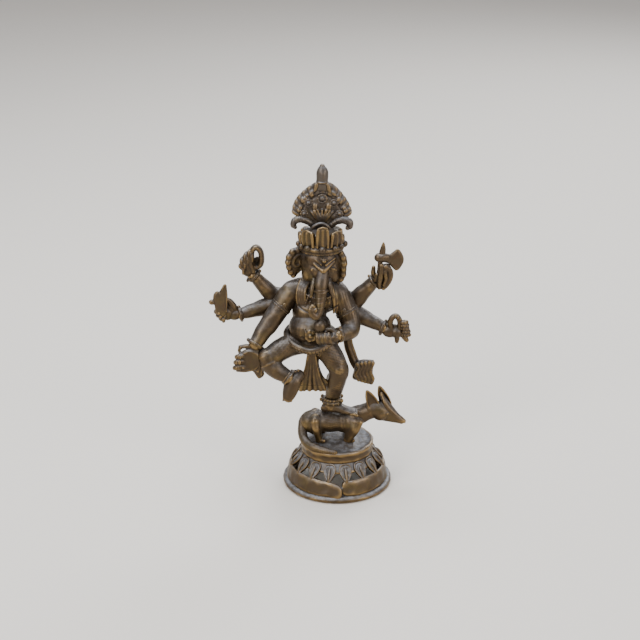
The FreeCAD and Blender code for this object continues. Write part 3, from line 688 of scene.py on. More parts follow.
# ---------------------------------------------------------------- rat
def build_rat(context):
    """The rat: a long trunk with four bulging legs, a wedge of a head, two dished ears and a tail."""
    body = [ball((-5.0, -0.3, 35.6), (14.8, 6.9, 6.0)), ball((-13.4, 0, 35.0), (7.0, 6.6, 6.4)),
            ball((4.5, -0.4, 35.4), (9.0, 6.6, 6.2)),
            tube([(7.0, -0.5, 36.8, 5.6), (13.0, -1.0, 39.4, 4.6), (18.6, -1.8, 42.3, 3.9),
                  (20.5, -2, 43.0, 3.6)])]
    for side in (-1, 1):
        body.append(tube([(-11.6, side * 4.0, 37.0, 4.6, 3.4), (-11.2, side * 5.4, 33.4, 3.7, 2.8),
                          (-10.4, side * 6.0, 29.6, 2.4, 2.0), (-9.8, side * 6.0, 26.8, 2.0, 1.8)]))
        body.append(tube([(-10.6, side * 5.9, 26.4, 1.5), (-7.6, side * 6.3, 26.2, 1.2)]))
        body.append(tube([(8.6, side * 3.2, 36.8, 6.6, 3.6), (8.0, side * 4.6, 33.0, 5.2, 3.2),
                          (6.8, side * 5.4, 29.6, 3.4, 2.4), (5.8, side * 5.7, 27.0, 2.4, 1.9)]))
        body.append(tube([(5.0, side * 5.5, 26.6, 1.7), (8.4, side * 6.1, 26.4, 1.3)]))
    for side in (-1, 1):
        body.append(ball((-11.8, side * 3.4, 35.0), (5.4, 4.2, 6.2)))
        body.append(ball((7.2, side * 3.2, 34.8), (5.8, 4.1, 6.2)))
    body.append(tube([(9.0, -0.8, 38.6, 5.2), (15.0, -1.4, 41.2, 4.8), (20.0, -1.9, 43.4, 4.6)]))

    def hair(p, n):
        """Short rows of tooling on the flanks and a saddle cloth's edge lines, besides the hand-made
        unevenness."""
        x, y, z = p.T
        rows = 0.06 * np.sin((z + 0.25 * x) * 5.2) * np.sin(x * 2.4) ** 2
        flank = np.exp(-((x + 3.0) / 5.0) ** 2) * (z > 33.5)
        edge = -0.10 * np.exp(-((np.abs(x + 3.0) - 6.2) / 0.35) ** 2) * (z > 34.0)
        return hand_made(p, 0.07) + rows * flank + edge

    sculpt("rat_body", body, "rat_bronze", voxel=0.31, soften=3, relief=hair)

    snout = [tube([(18.6, -1.8, 43.6, 4.9, 4.7), (22.6, -2.4, 42.9, 4.7, 4.3), (28.0, -3.1, 40.7, 3.5, 3.0),
                   (32.6, -3.9, 38.6, 2.3, 2.0), (36.0, -4.4, 37.2, 1.35, 1.2)], up=(0, 1, 0), sides=32),
             tube([(19.0, -2.0, 46.6, 2.0), (25.0, -2.8, 44.6, 1.7), (31.0, -3.7, 41.2, 1.2)]),
             tube([(24.0, -2.8, 40.2, 3.0), (29.0, -3.5, 38.9, 2.3), (35.0, -4.4, 36.8, 1.1)])]
    snout += [ball((23.8, -2.6, 41.4), (5.2, 4.4, 4.2)),
              tube([(23.8, -0.6, 52.0, 0.8, 1.5), (25.4, -1.2, 48.4, 1.7, 3.1),
                    (27.6, -2.0, 44.7, 2.1, 3.5),
                    (31.0, -3.1, 41.2, 1.8, 2.5), (34.6, -4.0, 38.5, 1.3, 1.4)], up=(0, 1, 0), sides=28)]
    for side in (-1, 1):
        snout.append(ball((26.4 - 0.4 * side, -2.9 + side * 3.0, 42.2), (0.95, 0.6, 0.95)))

    def mouth(p, n):
        """A groove along each cheek for the mouth, deepest at the nose."""
        x, y, z = p.T
        line = 39.1 - 0.30 * (x - 26.0)
        return hand_made(p, 0.05) - 0.40 * np.exp(-((z - line) / 0.32) ** 2) * np.clip((x - 29.5) / 3.0, 0,
                                                                                       1)

    sculpt("rat_head", snout, "rat_bronze", voxel=0.27, relief=mouth)

    ears = []
    for x, y, z, lean, turn, tall in ((18.2, -4.6, 49.6, -24, 18, 7.0), (25.2, 0.4, 49.2, -22, -16, 7.0)):
        outline = [(-1.4, -tall), (1.6, -tall), (3.0, -tall * 0.45), (2.5, tall * 0.15), (1.3, tall * 0.7),
                   (0, tall),
                   (-1.3, tall * 0.7), (-2.5, tall * 0.15), (-2.9, -tall * 0.45)]
        shell = [leaf(outline, (0, 0, 0), thick=1.7, dome=-0.9, cup=-1.1)]
        rim = [(px * 0.94, -0.35, pz * 0.97, 0.55) for px, pz in outline]
        shell.append(tube(rim, sides=10, steps=80, closed=True, up=(0, 1, 0)))
        ears += [moved(part, (x, y, z), y=lean, z=turn) for part in shell]
    sculpt("rat_ears", ears, "rat_bronze", voxel=0.25)

    path = [(-13.0, 0.6, 39.2, 2.6), (-16.8, 1.0, 37.6, 2.4), (-18.8, -0.6, 34.2, 2.5),
            (-19.0, -3.8, 30.4, 2.5),
            (-17.8, -7.6, 27.8, 2.5), (-15.2, -11.6, 26.4, 2.4), (-10.8, -15.0, 25.9, 2.2),
            (-6.0, -17.2, 25.6, 1.9), (-1.4, -18.2, 25.2, 1.5)]

    def rings(p, n):
        """Fine rings round the last third of the tail, and a ridge along its top."""
        along = np.degrees(np.arctan2(p[:, 1], p[:, 0]))
        tip = np.clip((along + 125.0) / 20.0, 0, 1)
        return hand_made(p, 0.05) - 0.16 * tip * np.maximum(np.sin(along * 2.2), 0) ** 2

    sculpt("rat_tail", [tube(path, sides=24, up=(0, 0, 1))], "rat_bronze", voxel=0.24, relief=rings)


# ---------------------------------------------------------------- legs and feet
TOE_COUNT = 5


def toes(start, along, across, down, length, width):
    """A row of toes: short tubes side by side, each shorter than the one before."""
    start, along, across, down = (np.asarray(v, float) for v in (start, along, across, down))
    rows = []
    for k in range(TOE_COUNT):
        shift = (k / (TOE_COUNT - 1) - 0.5) * width
        reach = length * (1.0 - 0.09 * k)
        r = 0.5 * width / (TOE_COUNT - 1) * (1.18 if k == 0 else 0.98)
        at = start + across * shift
        rows.append(tube([np.append(at, r), np.append(at + along * reach * 0.6 - down * 0.25, r),
                          np.append(at + along * reach + down * 0.2, r * 0.85)], sides=12, steps=10))
    return rows


def build_legs(context):
    """Both legs in their chased trousers, both feet with toes, and the rings round the ankles."""
    leg = [tube([(-3.0, -2.5, 46.0, 3.7), (-2.9, -2.8, 50.4, 3.6), (-1.8, -4.2, 56.4, 4.7),
                 (-0.2, -6.6, 63.4, 5.1),
                 (0.6, -8.2, 69.6, 5.4), (-2.4, -6.8, 75.0, 6.0), (-6.8, -4.2, 81.0, 6.7),
                 (-8.6, -3.0, 84.5, 6.4)],
                sides=36),
            ball((0.6, -11.2, 70.6), (3.6, 2.8, 3.8)), ball((-2.6, -1.6, 60.0), (3.6, 4.4, 5.6))]

    def trousers(p, n):
        """Woven cloth: rows of short chased dashes across the thigh and calf, with a plain knee."""
        x, y, z = p.T
        slope = z + 0.35 * x
        dashes = np.maximum(np.sin(slope * 4.4), 0) ** 3 * (0.55 + 0.45 * np.sin(x * 3.6 + y * 2.2))
        shown = np.clip((z - 53.0) / 2.0, 0, 1) * (1 - 0.85 * np.exp(-((z - 66.0) / 4.0) ** 2))
        return hand_made(p, 0.07) - 0.15 * dashes * shown * np.clip((84.0 - z) / 2.0, 0, 1)

    sculpt("standing_leg", leg, "cloth_bronze", voxel=0.32, soften=4, relief=trousers)

    foot = [tube([(-6.2, -1.4, 44.3, 2.9, 2.6), (-2.2, -2.4, 45.4, 3.5, 3.4), (3.2, -4.0, 44.2, 3.2, 2.3),
                  (8.6, -5.4, 43.2, 3.3, 1.7)], up=(0.1, 0, 1), sides=28, power=2.3),
            ball((-6.6, -1.2, 43.4), (2.6, 2.6, 2.2))]
    foot += toes((8.4, -5.6, 43.2), (0.94, -0.33, 0.03), (0.33, 0.94, 0), (0, 0, -1), 3.2, 5.6)
    sculpt("standing_foot", foot, "skin_bronze", voxel=0.22)

    raised = [tube([(-14.5, -3.0, 84.2, 6.6), (-20.5, -5.6, 84.0, 6.5), (-27.0, -8.8, 83.0, 6.0),
                    (-33.4, -11.8, 79.6, 5.7), (-36.2, -13.2, 76.6, 5.4)], sides=36),
              tube([(-37.2, -13.6, 79.0, 5.0), (-35.6, -14.2, 75.4, 5.1), (-32.0, -15.6, 72.2, 4.8),
                    (-28.2, -16.6, 69.9, 4.0), (-26.2, -17.0, 68.9, 3.7)], sides=36),
              ball((-38.0, -14.0, 78.0), (3.6, 4.2, 4.6))]
    raised.append(hoop((-35.9, -14.1, 76.0), (0.42, -0.18, -0.89), 4.75, 0.6, sides=12))

    def raised_cloth(p, n):
        """Chased dashes slanting across the thigh; the shin is bare below the hem."""
        x, y, z = p.T
        slope = 0.8 * z - 0.9 * x
        dashes = np.maximum(np.sin(slope * 3.6), 0) ** 3 * (0.5 + 0.5 * np.sin((x + z) * 3.1))
        thigh = np.clip((z - 78.5 - 0.25 * (x + 34)) / 2.0, 0, 1) * np.clip((x + 35.0) / 4.0, 0, 1)
        return hand_made(p, 0.07) - 0.17 * dashes * thigh

    sculpt("raised_leg", raised, "cloth_bronze", voxel=0.32, soften=4, relief=raised_cloth)

    foot = [tube([(-20.6, -14.4, 68.8, 3.4, 3.2), (-23.2, -16.6, 67.2, 4.6, 3.8),
                  (-24.6, -18.2, 63.4, 4.3, 3.2),
                  (-25.9, -19.4, 59.6, 3.5, 2.3), (-26.8, -19.9, 57.6, 2.7, 1.7)], up=(-0.25, -0.9, 0.35),
                 sides=28)]
    foot += toes((-26.2, -20.0, 58.6), (-0.26, -0.2, -0.94), (0.9, -0.36, -0.12), (0, 0.8, 0.1), 2.6, 4.6)
    sculpt("raised_foot", foot, "skin_bronze", voxel=0.22)

    low = [hoop((-2.9, -2.7, 48.2), (0.02, 0.1, 1), 4.3, 1.15, lumps=11, lump=0.35, sides=14),
           hoop((-2.9, -2.8, 50.0), (0.02, 0.1, 1), 4.5, 0.7, lumps=18, lump=0.5, sides=10)]
    for angle in (-170, -30, 30, 150):
        a = math.radians(angle)
        low.append(ball((-2.9 + 6.0 * math.cos(a), -2.7 + 6.0 * math.sin(a), 50.0), (1.0, 1.0, 1.2)))
    tilted = (0.80, -0.22, -0.56)
    low += [hoop((-26.6, -16.9, 69.3), tilted, 4.1, 0.6, lumps=9, lump=0.12, sides=12),
            hoop((-25.6, -17.2, 68.5), tilted, 4.5, 0.55, sides=10)]
    low += [ball((-22.8, -17.6, 72.6), (1.3, 1.0, 1.0)), ball((-21.0, -17.2, 72.9), (0.9, 0.8, 0.8))]
    sculpt("anklets", low, "ornament_bronze", voxel=0.22)


# ---------------------------------------------------------------- torso and dress
def build_torso(context):
    """The torso with its round belly and hanging locks, the belt, the sash, the necklace and the thread."""
    body = [ball((-11.3, -0.6, 107.6), (12.8, 8.2, 9.4)), ball((-10.2, 2.6, 110.0), (10.8, 6.0, 7.6)),
            ball((-16.4, -5.2, 107.4), (5.4, 4.0, 5.2)), ball((-5.8, -5.4, 107.8), (5.4, 4.0, 5.2)),
            ball((-14.9, -3.0, 100.6), (9.2, 8.4, 9.0)), ball((-14.6, -5.2, 92.4), (11.3, 10.7, 9.6)),
            ball((-13.0, -2.6, 84.0), (11.2, 8.4, 6.6)), ball((-9.0, 3.4, 83.6), (7.2, 5.2, 6.0)),
            ball((-17.0, 3.4, 83.6), (6.8, 5.0, 6.0)),
            tube([(-10.0, -1.0, 110.0, 6.4), (-9.0, -2.2, 120.0, 5.2)])]
    # Hair and scarf ends hang in locks over both shoulders.
    for k in range(4):
        x = -21.6 + 1.45 * k
        body.append(tube([(x + 2.2, -2.8 - 0.5 * k, 118.0 - 0.2 * k, 1.0),
                          (x + 0.6, -6.1 - 0.35 * k, 114.4, 1.1),
                          (x + 0.2, -7.2 - 0.35 * k, 109.4, 1.0),
                          (x + 0.8, -6.8 - 0.4 * k, 104.6 + 0.7 * k, 0.8)],
                         sides=12))
    for k in range(3):
        x = -2.6 + 1.5 * k
        body.append(tube([(x - 1.2, -5.7 + 0.5 * k, 117.4 - 1.2 * k, 1.0),
                          (x, -8.1 + 0.7 * k, 113.2 - 0.8 * k, 1.05),
                          (x + 0.6, -9.0 + 0.6 * k, 107.4, 0.8), (x + 0.4, -8.6 + 0.6 * k, 102.0, 0.6)],
                         sides=12))
    # A flower-shaped buckle sits on the belly.
    for k in range(7):
        a = TAU * k / 7
        body.append(ball((-14.4 + 2.0 * math.cos(a), -15.8, 91.6 + 2.2 * math.sin(a)), (1.25, 0.7, 1.25),
                         sides=14))
    body.append(ball((-14.4, -16.7, 91.7), (1.2, 0.9, 1.2), sides=16))

    def skin_folds(p, n):
        """A crease under the chest and one above the belly, besides the hand-made unevenness."""
        x, y, z = p.T
        front = np.clip((-n[:, 1] - 0.1) / 0.5, 0, 1)
        crease = np.exp(-((z - 102.6 - 0.03 * (x + 11) ** 2) / 0.5) ** 2)
        navel = np.exp(-((x + 18.6) ** 2 + (z - 90.2) ** 2) / 0.9)
        return hand_made(p, 0.07) - (0.35 * crease + 0.5 * navel) * front

    sculpt("torso", body, "skin_bronze", voxel=0.34, soften=4, relief=skin_folds)

    ring = [(-26.9, -4.8, 89.4), (-25.4, -10.4, 87.0), (-21.0, -14.8, 84.8), (-14.6, -16.6, 83.4),
            (-8.6, -15.0, 84.4), (-3.6, -10.6, 86.2), (-1.6, -4.4, 88.0), (-3.8, 2.4, 88.6),
            (-10.0, 6.2, 88.8),
            (-17.6, 6.0, 89.6), (-24.0, 2.2, 90.0)]
    belt = [tube([p + (1.95,) for p in ring], sides=24, steps=170, closed=True, up=(0, 0, 1))]
    belt.append(tube([(-13.4, -6.0, 82.8, 3.4), (-10.6, -9.4, 82.2, 2.8), (-9.6, -9.2, 79.8, 2.4)],
                     sides=20))

    def scales(p, n):
        """Slanting tooling all round the lower half of the roll: a sine of the angle round the waist, and
        a bead line along its middle."""
        around = np.arctan2(p[:, 1] + 5.0, p[:, 0] + 14.2)
        low = np.clip((0.35 - n[:, 2]) / 0.4, 0, 1)
        ribs = np.maximum(np.sin(around * 44.0 + n[:, 2] * 2.2), 0) ** 2
        line = np.exp(-((n[:, 2] - 0.35) / 0.12) ** 2)
        return hand_made(p, 0.05) - 0.24 * ribs * low - 0.15 * line

    sculpt("belt", belt, "cloth_bronze", voxel=0.24, relief=scales)

    # The sash: a hanging sheet whose front is a row of upright folds that spread towards the hem, and one
    # fold that swings out sideways.
    sash = []
    for k in range(6):
        f = k / 5 - 0.5 + 0.06 * math.sin(5.0 * k)
        sash.append(tube([(-13.6 + 2.6 * f, -8.6, 82.0, 0.9, 1.3), (-13.8 + 4.6 * f, -8.9, 75.0, 0.8, 1.3),
                          (-13.8 + 8.0 * f, -8.6, 66.0, 1.05, 1.2),
                          (-13.4 + 12.6 * f, -7.9 + 0.4 * (k % 2), 57.6, 1.4, 1.2)],
                         sides=14, up=(0, 1, 0)))
    sash.append(tube([(-13.6, -7.6, 82.0, 2.4, 1.2), (-13.8, -7.7, 70.0, 3.6, 1.1),
                      (-13.4, -7.0, 57.8, 6.8, 1.0)],
                     sides=24, up=(0, 1, 0)))
    for shift, r in ((0.0, 1.15), (1.5, 1.0)):
        sash.append(tube([(-10.6, -7.4, 80.0 - shift, r), (-10.8 - shift * 0.3, -7.6, 72.0 - shift, r),
                          (-8.6 - shift * 0.5, -7.4, 65.0 - shift, r), (-5.0, -6.6, 60.8 - shift * 0.8, r),
                          (-3.6, -6.2, 60.4 - shift * 0.4, r * 0.9)], sides=14))
    sash.append(ball((-4.0, -6.4, 60.6), (1.7, 1.4, 1.7)))
    sculpt("front_sash", sash, "cloth_bronze", voxel=0.24,
           relief=lambda p, n: hand_made(p, 0.05) - 0.12 * np.maximum(np.sin(p[:, 2] * 2.2), 0) ** 6 *
           (p[:, 2] < 62.0))

    neck = []
    for radius, z, y, beads, r in ((6.6, 116.0, -3.6, 26, 0.75), (8.2, 113.2, -4.4, 34, 0.8)):
        loop = [(-9.4 + radius * math.cos(a), y + radius * 0.92 * math.sin(a), z + 2.2 * math.sin(a))
                for a in np.linspace(0, TAU, 12, endpoint=False)]
        neck.append(tube([p + (0.55,) for p in loop], sides=10, steps=90, closed=True, up=(0, 0, 1)))
        neck += [ball(p, r, sides=10) for p in smooth(loop, beads, closed=True)]
    for k in range(5):
        neck.append(ball((-14.4 + 2.4 * k, -12.2 - 0.5 * math.sin(k * math.pi / 4),
                          108.9 - 1.3 * math.sin(k * math.pi / 4)),
                         (0.95, 0.8, 1.25), sides=12))
    sculpt("necklace", neck, "ornament_bronze", voxel=0.22, soften=1)

    line = [(-13.6, -9.4, 114.4), (-15.6, -9.4, 110.6), (-17.0, -9.0, 106.0), (-17.2, -8.6, 101.6),
            (-17.4, -10.2, 98.0), (-17.6, -14.0, 95.6), (-16.6, -15.8, 93.4)]
    thread = [tube([p + (0.5,) for p in line], sides=10)] + row_of_balls(line, 0.8, 19)
    sculpt("sacred_thread", thread, "ornament_bronze", voxel=0.22, soften=1)


# ---------------------------------------------------------------- arms and hands
ARM_PATHS = {
    "upper_right": [(-16.0, 3.6, 108.0, 5.4), (-25.0, 4.0, 106.4, 5.0), (-33.4, 3.6, 107.0, 4.7),
                    (-38.6, 2.2, 112.6, 4.0), (-44.2, 0.5, 119.2, 3.1)],
    "middle_right": [(-17.0, 3.4, 108.0, 5.4), (-27.0, 2.8, 104.6, 5.0), (-36.0, 2.0, 102.2, 4.9),
                     (-44.0, 0.0, 100.2, 3.9), (-51.4, -1.9, 98.8, 2.9)],
    "lower_right": [(-18.6, -1.0, 113.0, 5.6), (-24.6, -2.2, 111.0, 5.9), (-30.0, -4.4, 103.6, 5.4),
                    (-35.0, -6.8, 96.8, 5.2), (-39.4, -9.4, 91.2, 4.5), (-43.2, -12.0, 85.6, 3.6)],
    "upper_left": [(-2.0, 3.6, 108.4, 5.2), (4.0, 4.0, 105.0, 5.0), (8.6, 3.6, 104.0, 4.9),
                   (13.6, 2.2, 109.8, 4.2), (19.4, 0.3, 116.4, 3.1)],
    "middle_left": [(-3.0, 3.2, 106.0, 5.2), (4.0, 2.6, 100.0, 5.0), (9.8, 2.0, 97.2, 5.0),
                    (16.8, 0.2, 94.2, 4.0),
                    (24.0, -1.9, 91.2, 3.0)],
    "lower_left": [(-5.6, -1.0, 113.6, 5.4), (-0.6, -2.2, 110.8, 6.2), (3.6, -3.6, 103.2, 6.0),
                   (6.6, -5.6, 96.4, 5.4), (6.4, -9.6, 92.4, 4.8), (3.4, -14.0, 92.4, 3.7),
                   (0.4, -17.2, 92.8, 3.1)],
}


def build_arms(context):
    """The six arms, each a tube along its own path."""
    for side, path in ARM_PATHS.items():
        def sleeve(p, n, side=side):
            """Long shallow folds down the lower left arm's scarf; the other arms are plain."""
            if side != "lower_left":
                return hand_made(p, 0.08)
            x, y, z = p.T
            folds = np.maximum(np.sin(x * 3.4 + z * 0.9), 0) ** 2
            shown = np.clip((z - 96.0) / 4.0, 0, 1) * np.clip((x + 2.0) / 3.0, 0, 1)
            return hand_made(p, 0.08) - 0.12 * folds * shown
        sculpt(side + "_arm", [tube(path, sides=36)], "skin_bronze", voxel=0.34, soften=4, relief=sleeve)


def finger(points, radius, sides=12):
    """One finger: a tube through its knuckles that thins by a tenth at each."""
    return tube([tuple(p) + (radius * (1 - 0.10 * k),) for k, p in enumerate(points)], sides=sides)


def build_hands(context):
    """The six hands: a palm of a few balls, and tubes for the fingers."""
    hand = [ball((-47.0, -0.4, 123.0), (3.4, 2.6, 3.8)),
            ball((-47.8, -0.6, 127.6), (3.0, 2.4, 4.6), (0, 8, 0))]
    for x, top, low in ((-51.0, 127.4, 123.4), (-50.2, 130.4, 122.8), (-48.4, 133.0, 122.4),
                        (-46.3, 134.4, 122.6)):
        hand.append(tube([(x + 2.2, -1.8, low, 1.3), (x + 0.5, -2.8, 0.5 * (low + top), 1.35),
                          (x + 0.2, -2.6, top - 1.4, 1.25), (x + 0.9, -1.2, top - 0.4, 1.0)], sides=14))
        hand.append(tube([(x + 1.3, -2.4, top - 1.0, 0.8), (x + 1.7, -3.6, top - 3.6, 0.9),
                          (x + 1.6, -3.6, top - 5.6, 0.7)],
                         sides=12))
    sculpt("upper_right_hand", hand, "skin_bronze", voxel=0.22)

    hand = [ball((-54.4, -2.6, 98.8), (3.7, 2.7, 3.0)), ball((-58.4, -3.2, 99.6), (3.6, 2.8, 3.8)),
            ball((-56.6, -3.0, 102.0), (2.4, 2.0, 3.4), (0, -30, 0))]
    hand.append(tube([(-53.8, -2.4, 100.6, 1.5), (-54.8, -3.0, 103.4, 1.7), (-57.0, -3.6, 106.6, 1.6),
                      (-58.4, -4.4, 108.0, 1.2)], sides=18))
    for x, z in ((-64.0, 101.0), (-63.2, 99.0), (-61.6, 97.4)):
        hand.append(tube([(-59.4, -2.4, z + 0.6, 1.3), (x + 0.9, -2.8, z + 0.2, 1.3), (x, -5.0, z, 1.25),
                          (x + 1.6, -7.2, z + 0.2, 1.1)], sides=14))
    hand.append(tube([(-59.6, -6.0, 98.6, 1.1), (-60.0, -6.4, 96.4, 1.0)], sides=14))
    sculpt("middle_right_hand", hand, "skin_bronze", voxel=0.22)

    # An open palm, round and flat, with four stubby fingers held together and the thumb across the top.
    hand = [ball((-43.6, -11.8, 83.2), (3.3, 2.8, 3.4)),
            ball((-46.2, -14.0, 77.4), (5.9, 2.0, 6.2), power=2.6),
            tube([(-42.6, -13.2, 82.0, 1.5), (-41.2, -13.8, 76.4, 1.6), (-42.0, -13.4, 71.6, 1.4)])]
    for row, r in ((((-48.8, -14.4, 79.8), (-51.6, -15.0, 80.0), (-53.0, -14.0, 79.2)), 1.6),
                   (((-49.0, -14.4, 76.9), (-52.2, -15.2, 76.8), (-53.8, -14.0, 76.0)), 1.65),
                   (((-48.8, -14.4, 74.2), (-52.4, -15.1, 73.6), (-54.2, -14.0, 73.0)), 1.65),
                   (((-45.0, -14.2, 72.6), (-49.6, -14.4, 71.9), (-52.8, -13.6, 71.5)), 1.35),
                   (((-44.4, -12.6, 84.4), (-48.2, -12.8, 84.7), (-51.4, -12.4, 84.2)), 1.35)):
        hand.append(finger(row, r, sides=16))
    hand.append(tube([(-50.8, -12.8, 84.2, 1.2), (-51.9, -13.0, 82.6, 1.0), (-51.2, -13.4, 81.2, 1.1)],
                     sides=12))

    def palm(p, n):
        """A shallow dish in the round palm with a raised rim, and knuckle creases across the fingers."""
        x, y, z = p.T
        front = np.clip(-n[:, 1], 0, 1)
        out = np.hypot(x + 46.2, z - 77.4)
        dish = 0.55 * np.clip(1 - (out / 4.6) ** 2, 0, 1) - 0.25 * np.exp(-((out - 5.2) / 0.5) ** 2)
        creases = 0.16 * np.maximum(np.sin(x * 3.2), 0) ** 4 * (x < -50.0)
        return hand_made(p, 0.07) - (dish + creases) * front

    sculpt("lower_right_hand", hand, "skin_bronze", voxel=0.22, relief=palm)

    hand = [ball((23.2, -0.4, 119.4), (3.4, 2.7, 5.4), (0, 10, 0)),
            ball((21.6, -0.6, 116.6), (3.2, 2.6, 3.4)),
            ball((25.0, -2.0, 120.8), (2.7, 2.4, 6.0), (0, 8, 0)),
            ball((25.0, -3.4, 125.2), (2.5, 2.0, 2.3))]
    for path in ([(22.6, -4.4, 126.6, 1.2), (22.0, -5.0, 121.6, 1.4), (21.5, -4.4, 117.0, 1.35),
                  (21.6, -3.2, 114.0, 1.1)],
                 [(24.8, -4.4, 126.0, 1.4), (27.0, -3.6, 123.6, 1.5), (27.2, -3.4, 119.6, 1.4),
                  (25.6, -3.8, 116.0, 1.3),
                  (23.8, -3.4, 113.8, 1.1)],
                 [(24.4, -4.4, 123.4, 1.0), (25.0, -4.6, 119.4, 1.0), (24.0, -4.4, 115.8, 0.9)],
                 [(19.6, -0.8, 118.4, 1.4), (18.5, -1.6, 121.6, 1.4), (18.6, -1.8, 124.8, 1.15)],
                 [(18.9, -1.8, 117.4, 1.3), (19.6, -3.4, 118.6, 1.2), (20.2, -3.9, 121.4, 1.0)]):
        hand.append(tube(path, sides=16))
    sculpt("upper_left_hand", hand, "skin_bronze", voxel=0.22)

    hand = [ball((27.4, -2.7, 89.3), (4.0, 2.7, 3.5)), ball((31.2, -3.2, 88.8), (3.4, 2.7, 3.0))]
    loop = [(28.2, -3.6, 91.4), (27.6, -4.0, 95.0), (29.0, -4.2, 98.0), (31.2, -4.2, 98.2),
            (32.7, -4.0, 95.4),
            (32.6, -3.6, 91.4)]
    hand.append(tube([q + (1.45,) for q in loop], sides=16))
    hand.append(leaf([(28.0, 90.0), (32.6, 90.0), (32.4, 92.4), (30.4, 93.2), (28.4, 92.6)], (0, -2.6, 0),
                     thick=2.4))
    for k in range(3):
        hand.append(finger([(32.0 + 0.4 * k, -2.4, 88.8 + 1.2 * k), (34.6, -2.2 - 0.6 * k, 87.6 + 1.6 * k),
                            (36.2, -3.8 - 0.3 * k, 86.6 + 1.9 * k)], 1.1))
    hand += [tube([(31.0, -3.4, 88.0, 1.5), (31.5, -3.4, 85.4, 1.4), (31.4, -3.2, 83.6, 1.2)], sides=16),
             tube([(33.6, -4.0, 88.4, 1.4), (35.4, -4.4, 86.2, 1.35), (36.6, -4.4, 84.7, 1.15)], sides=16)]
    sculpt("middle_left_hand", hand, "skin_bronze", voxel=0.22)

    hand = [ball((-2.2, -18.2, 92.0), (3.6, 2.9, 2.8)), ball((-5.8, -19.0, 91.4), (4.0, 2.8, 2.6))]
    for k in range(4):
        x = -4.2 - 2.0 * k
        hand.append(tube([(x + 0.9, -19.6, 89.6, 1.35), (x, -21.2, 91.2, 1.35), (x - 0.5, -21.2, 93.4, 1.2),
                          (x - 0.7, -20.3, 94.8, 1.0)], sides=14))
    hand.append(tube([(-0.6, -18.0, 93.8, 1.4), (-3.2, -17.4, 95.6, 1.5), (-6.2, -17.4, 95.8, 1.2)],
                     sides=14))
    hand.append(hoop((-4.6, -19.2, 94.2), (0.1, -0.7, 1), 2.4, 0.95, sides=12))
    sculpt("lower_left_hand", hand, "skin_bronze", voxel=0.22)


def build_bangles(context):
    """Bangles are hoops with a few low lumps and two small knobs each; armlets are double hoops with a
    raised drop."""
    for side, path in ARM_PATHS.items():
        x, y, z, r = path[-1]
        x0, y0, z0, _ = path[-2]
        axis = unit([x - x0, y - y0, z - z0])
        centre = np.array([x, y, z])
        parts = [hoop(centre, axis, r + 0.2, 0.75, wide=1.0, lumps=7, lump=0.22, sides=14)]
        across = unit(np.cross(axis, (0, 1, 0)))
        for sign, size in ((-1, 1.05), (1, 0.85)):
            parts.append(ball(centre + across * sign * (r + 1.0), size, sides=14))
        sculpt(side + "_bangle", parts, "ornament_bronze", voxel=0.22, soften=1)
    parts = []
    for centre, axis, r in (((-29.6, -4.2, 104.2), (-6.2, -2.4, -7.2), 5.3),
                            ((4.4, -4.0, 101.4), (4.0, -1.6, -7.2), 5.8)):
        axis = unit(axis)
        front = unit(np.array([0, -1.0, 0]) - axis * -axis[1])
        centre = np.array(centre)
        parts += [hoop(centre, axis, r, 0.55), hoop(centre + axis * 1.1, axis, r, 0.5, lumps=20, lump=0.25)]
        parts += [ball(centre + front * (r + 0.1) - axis * 1.2, (1.3, 0.8, 1.6), sides=18)]
    sculpt("armlets", parts, "ornament_bronze", voxel=0.22, soften=1)


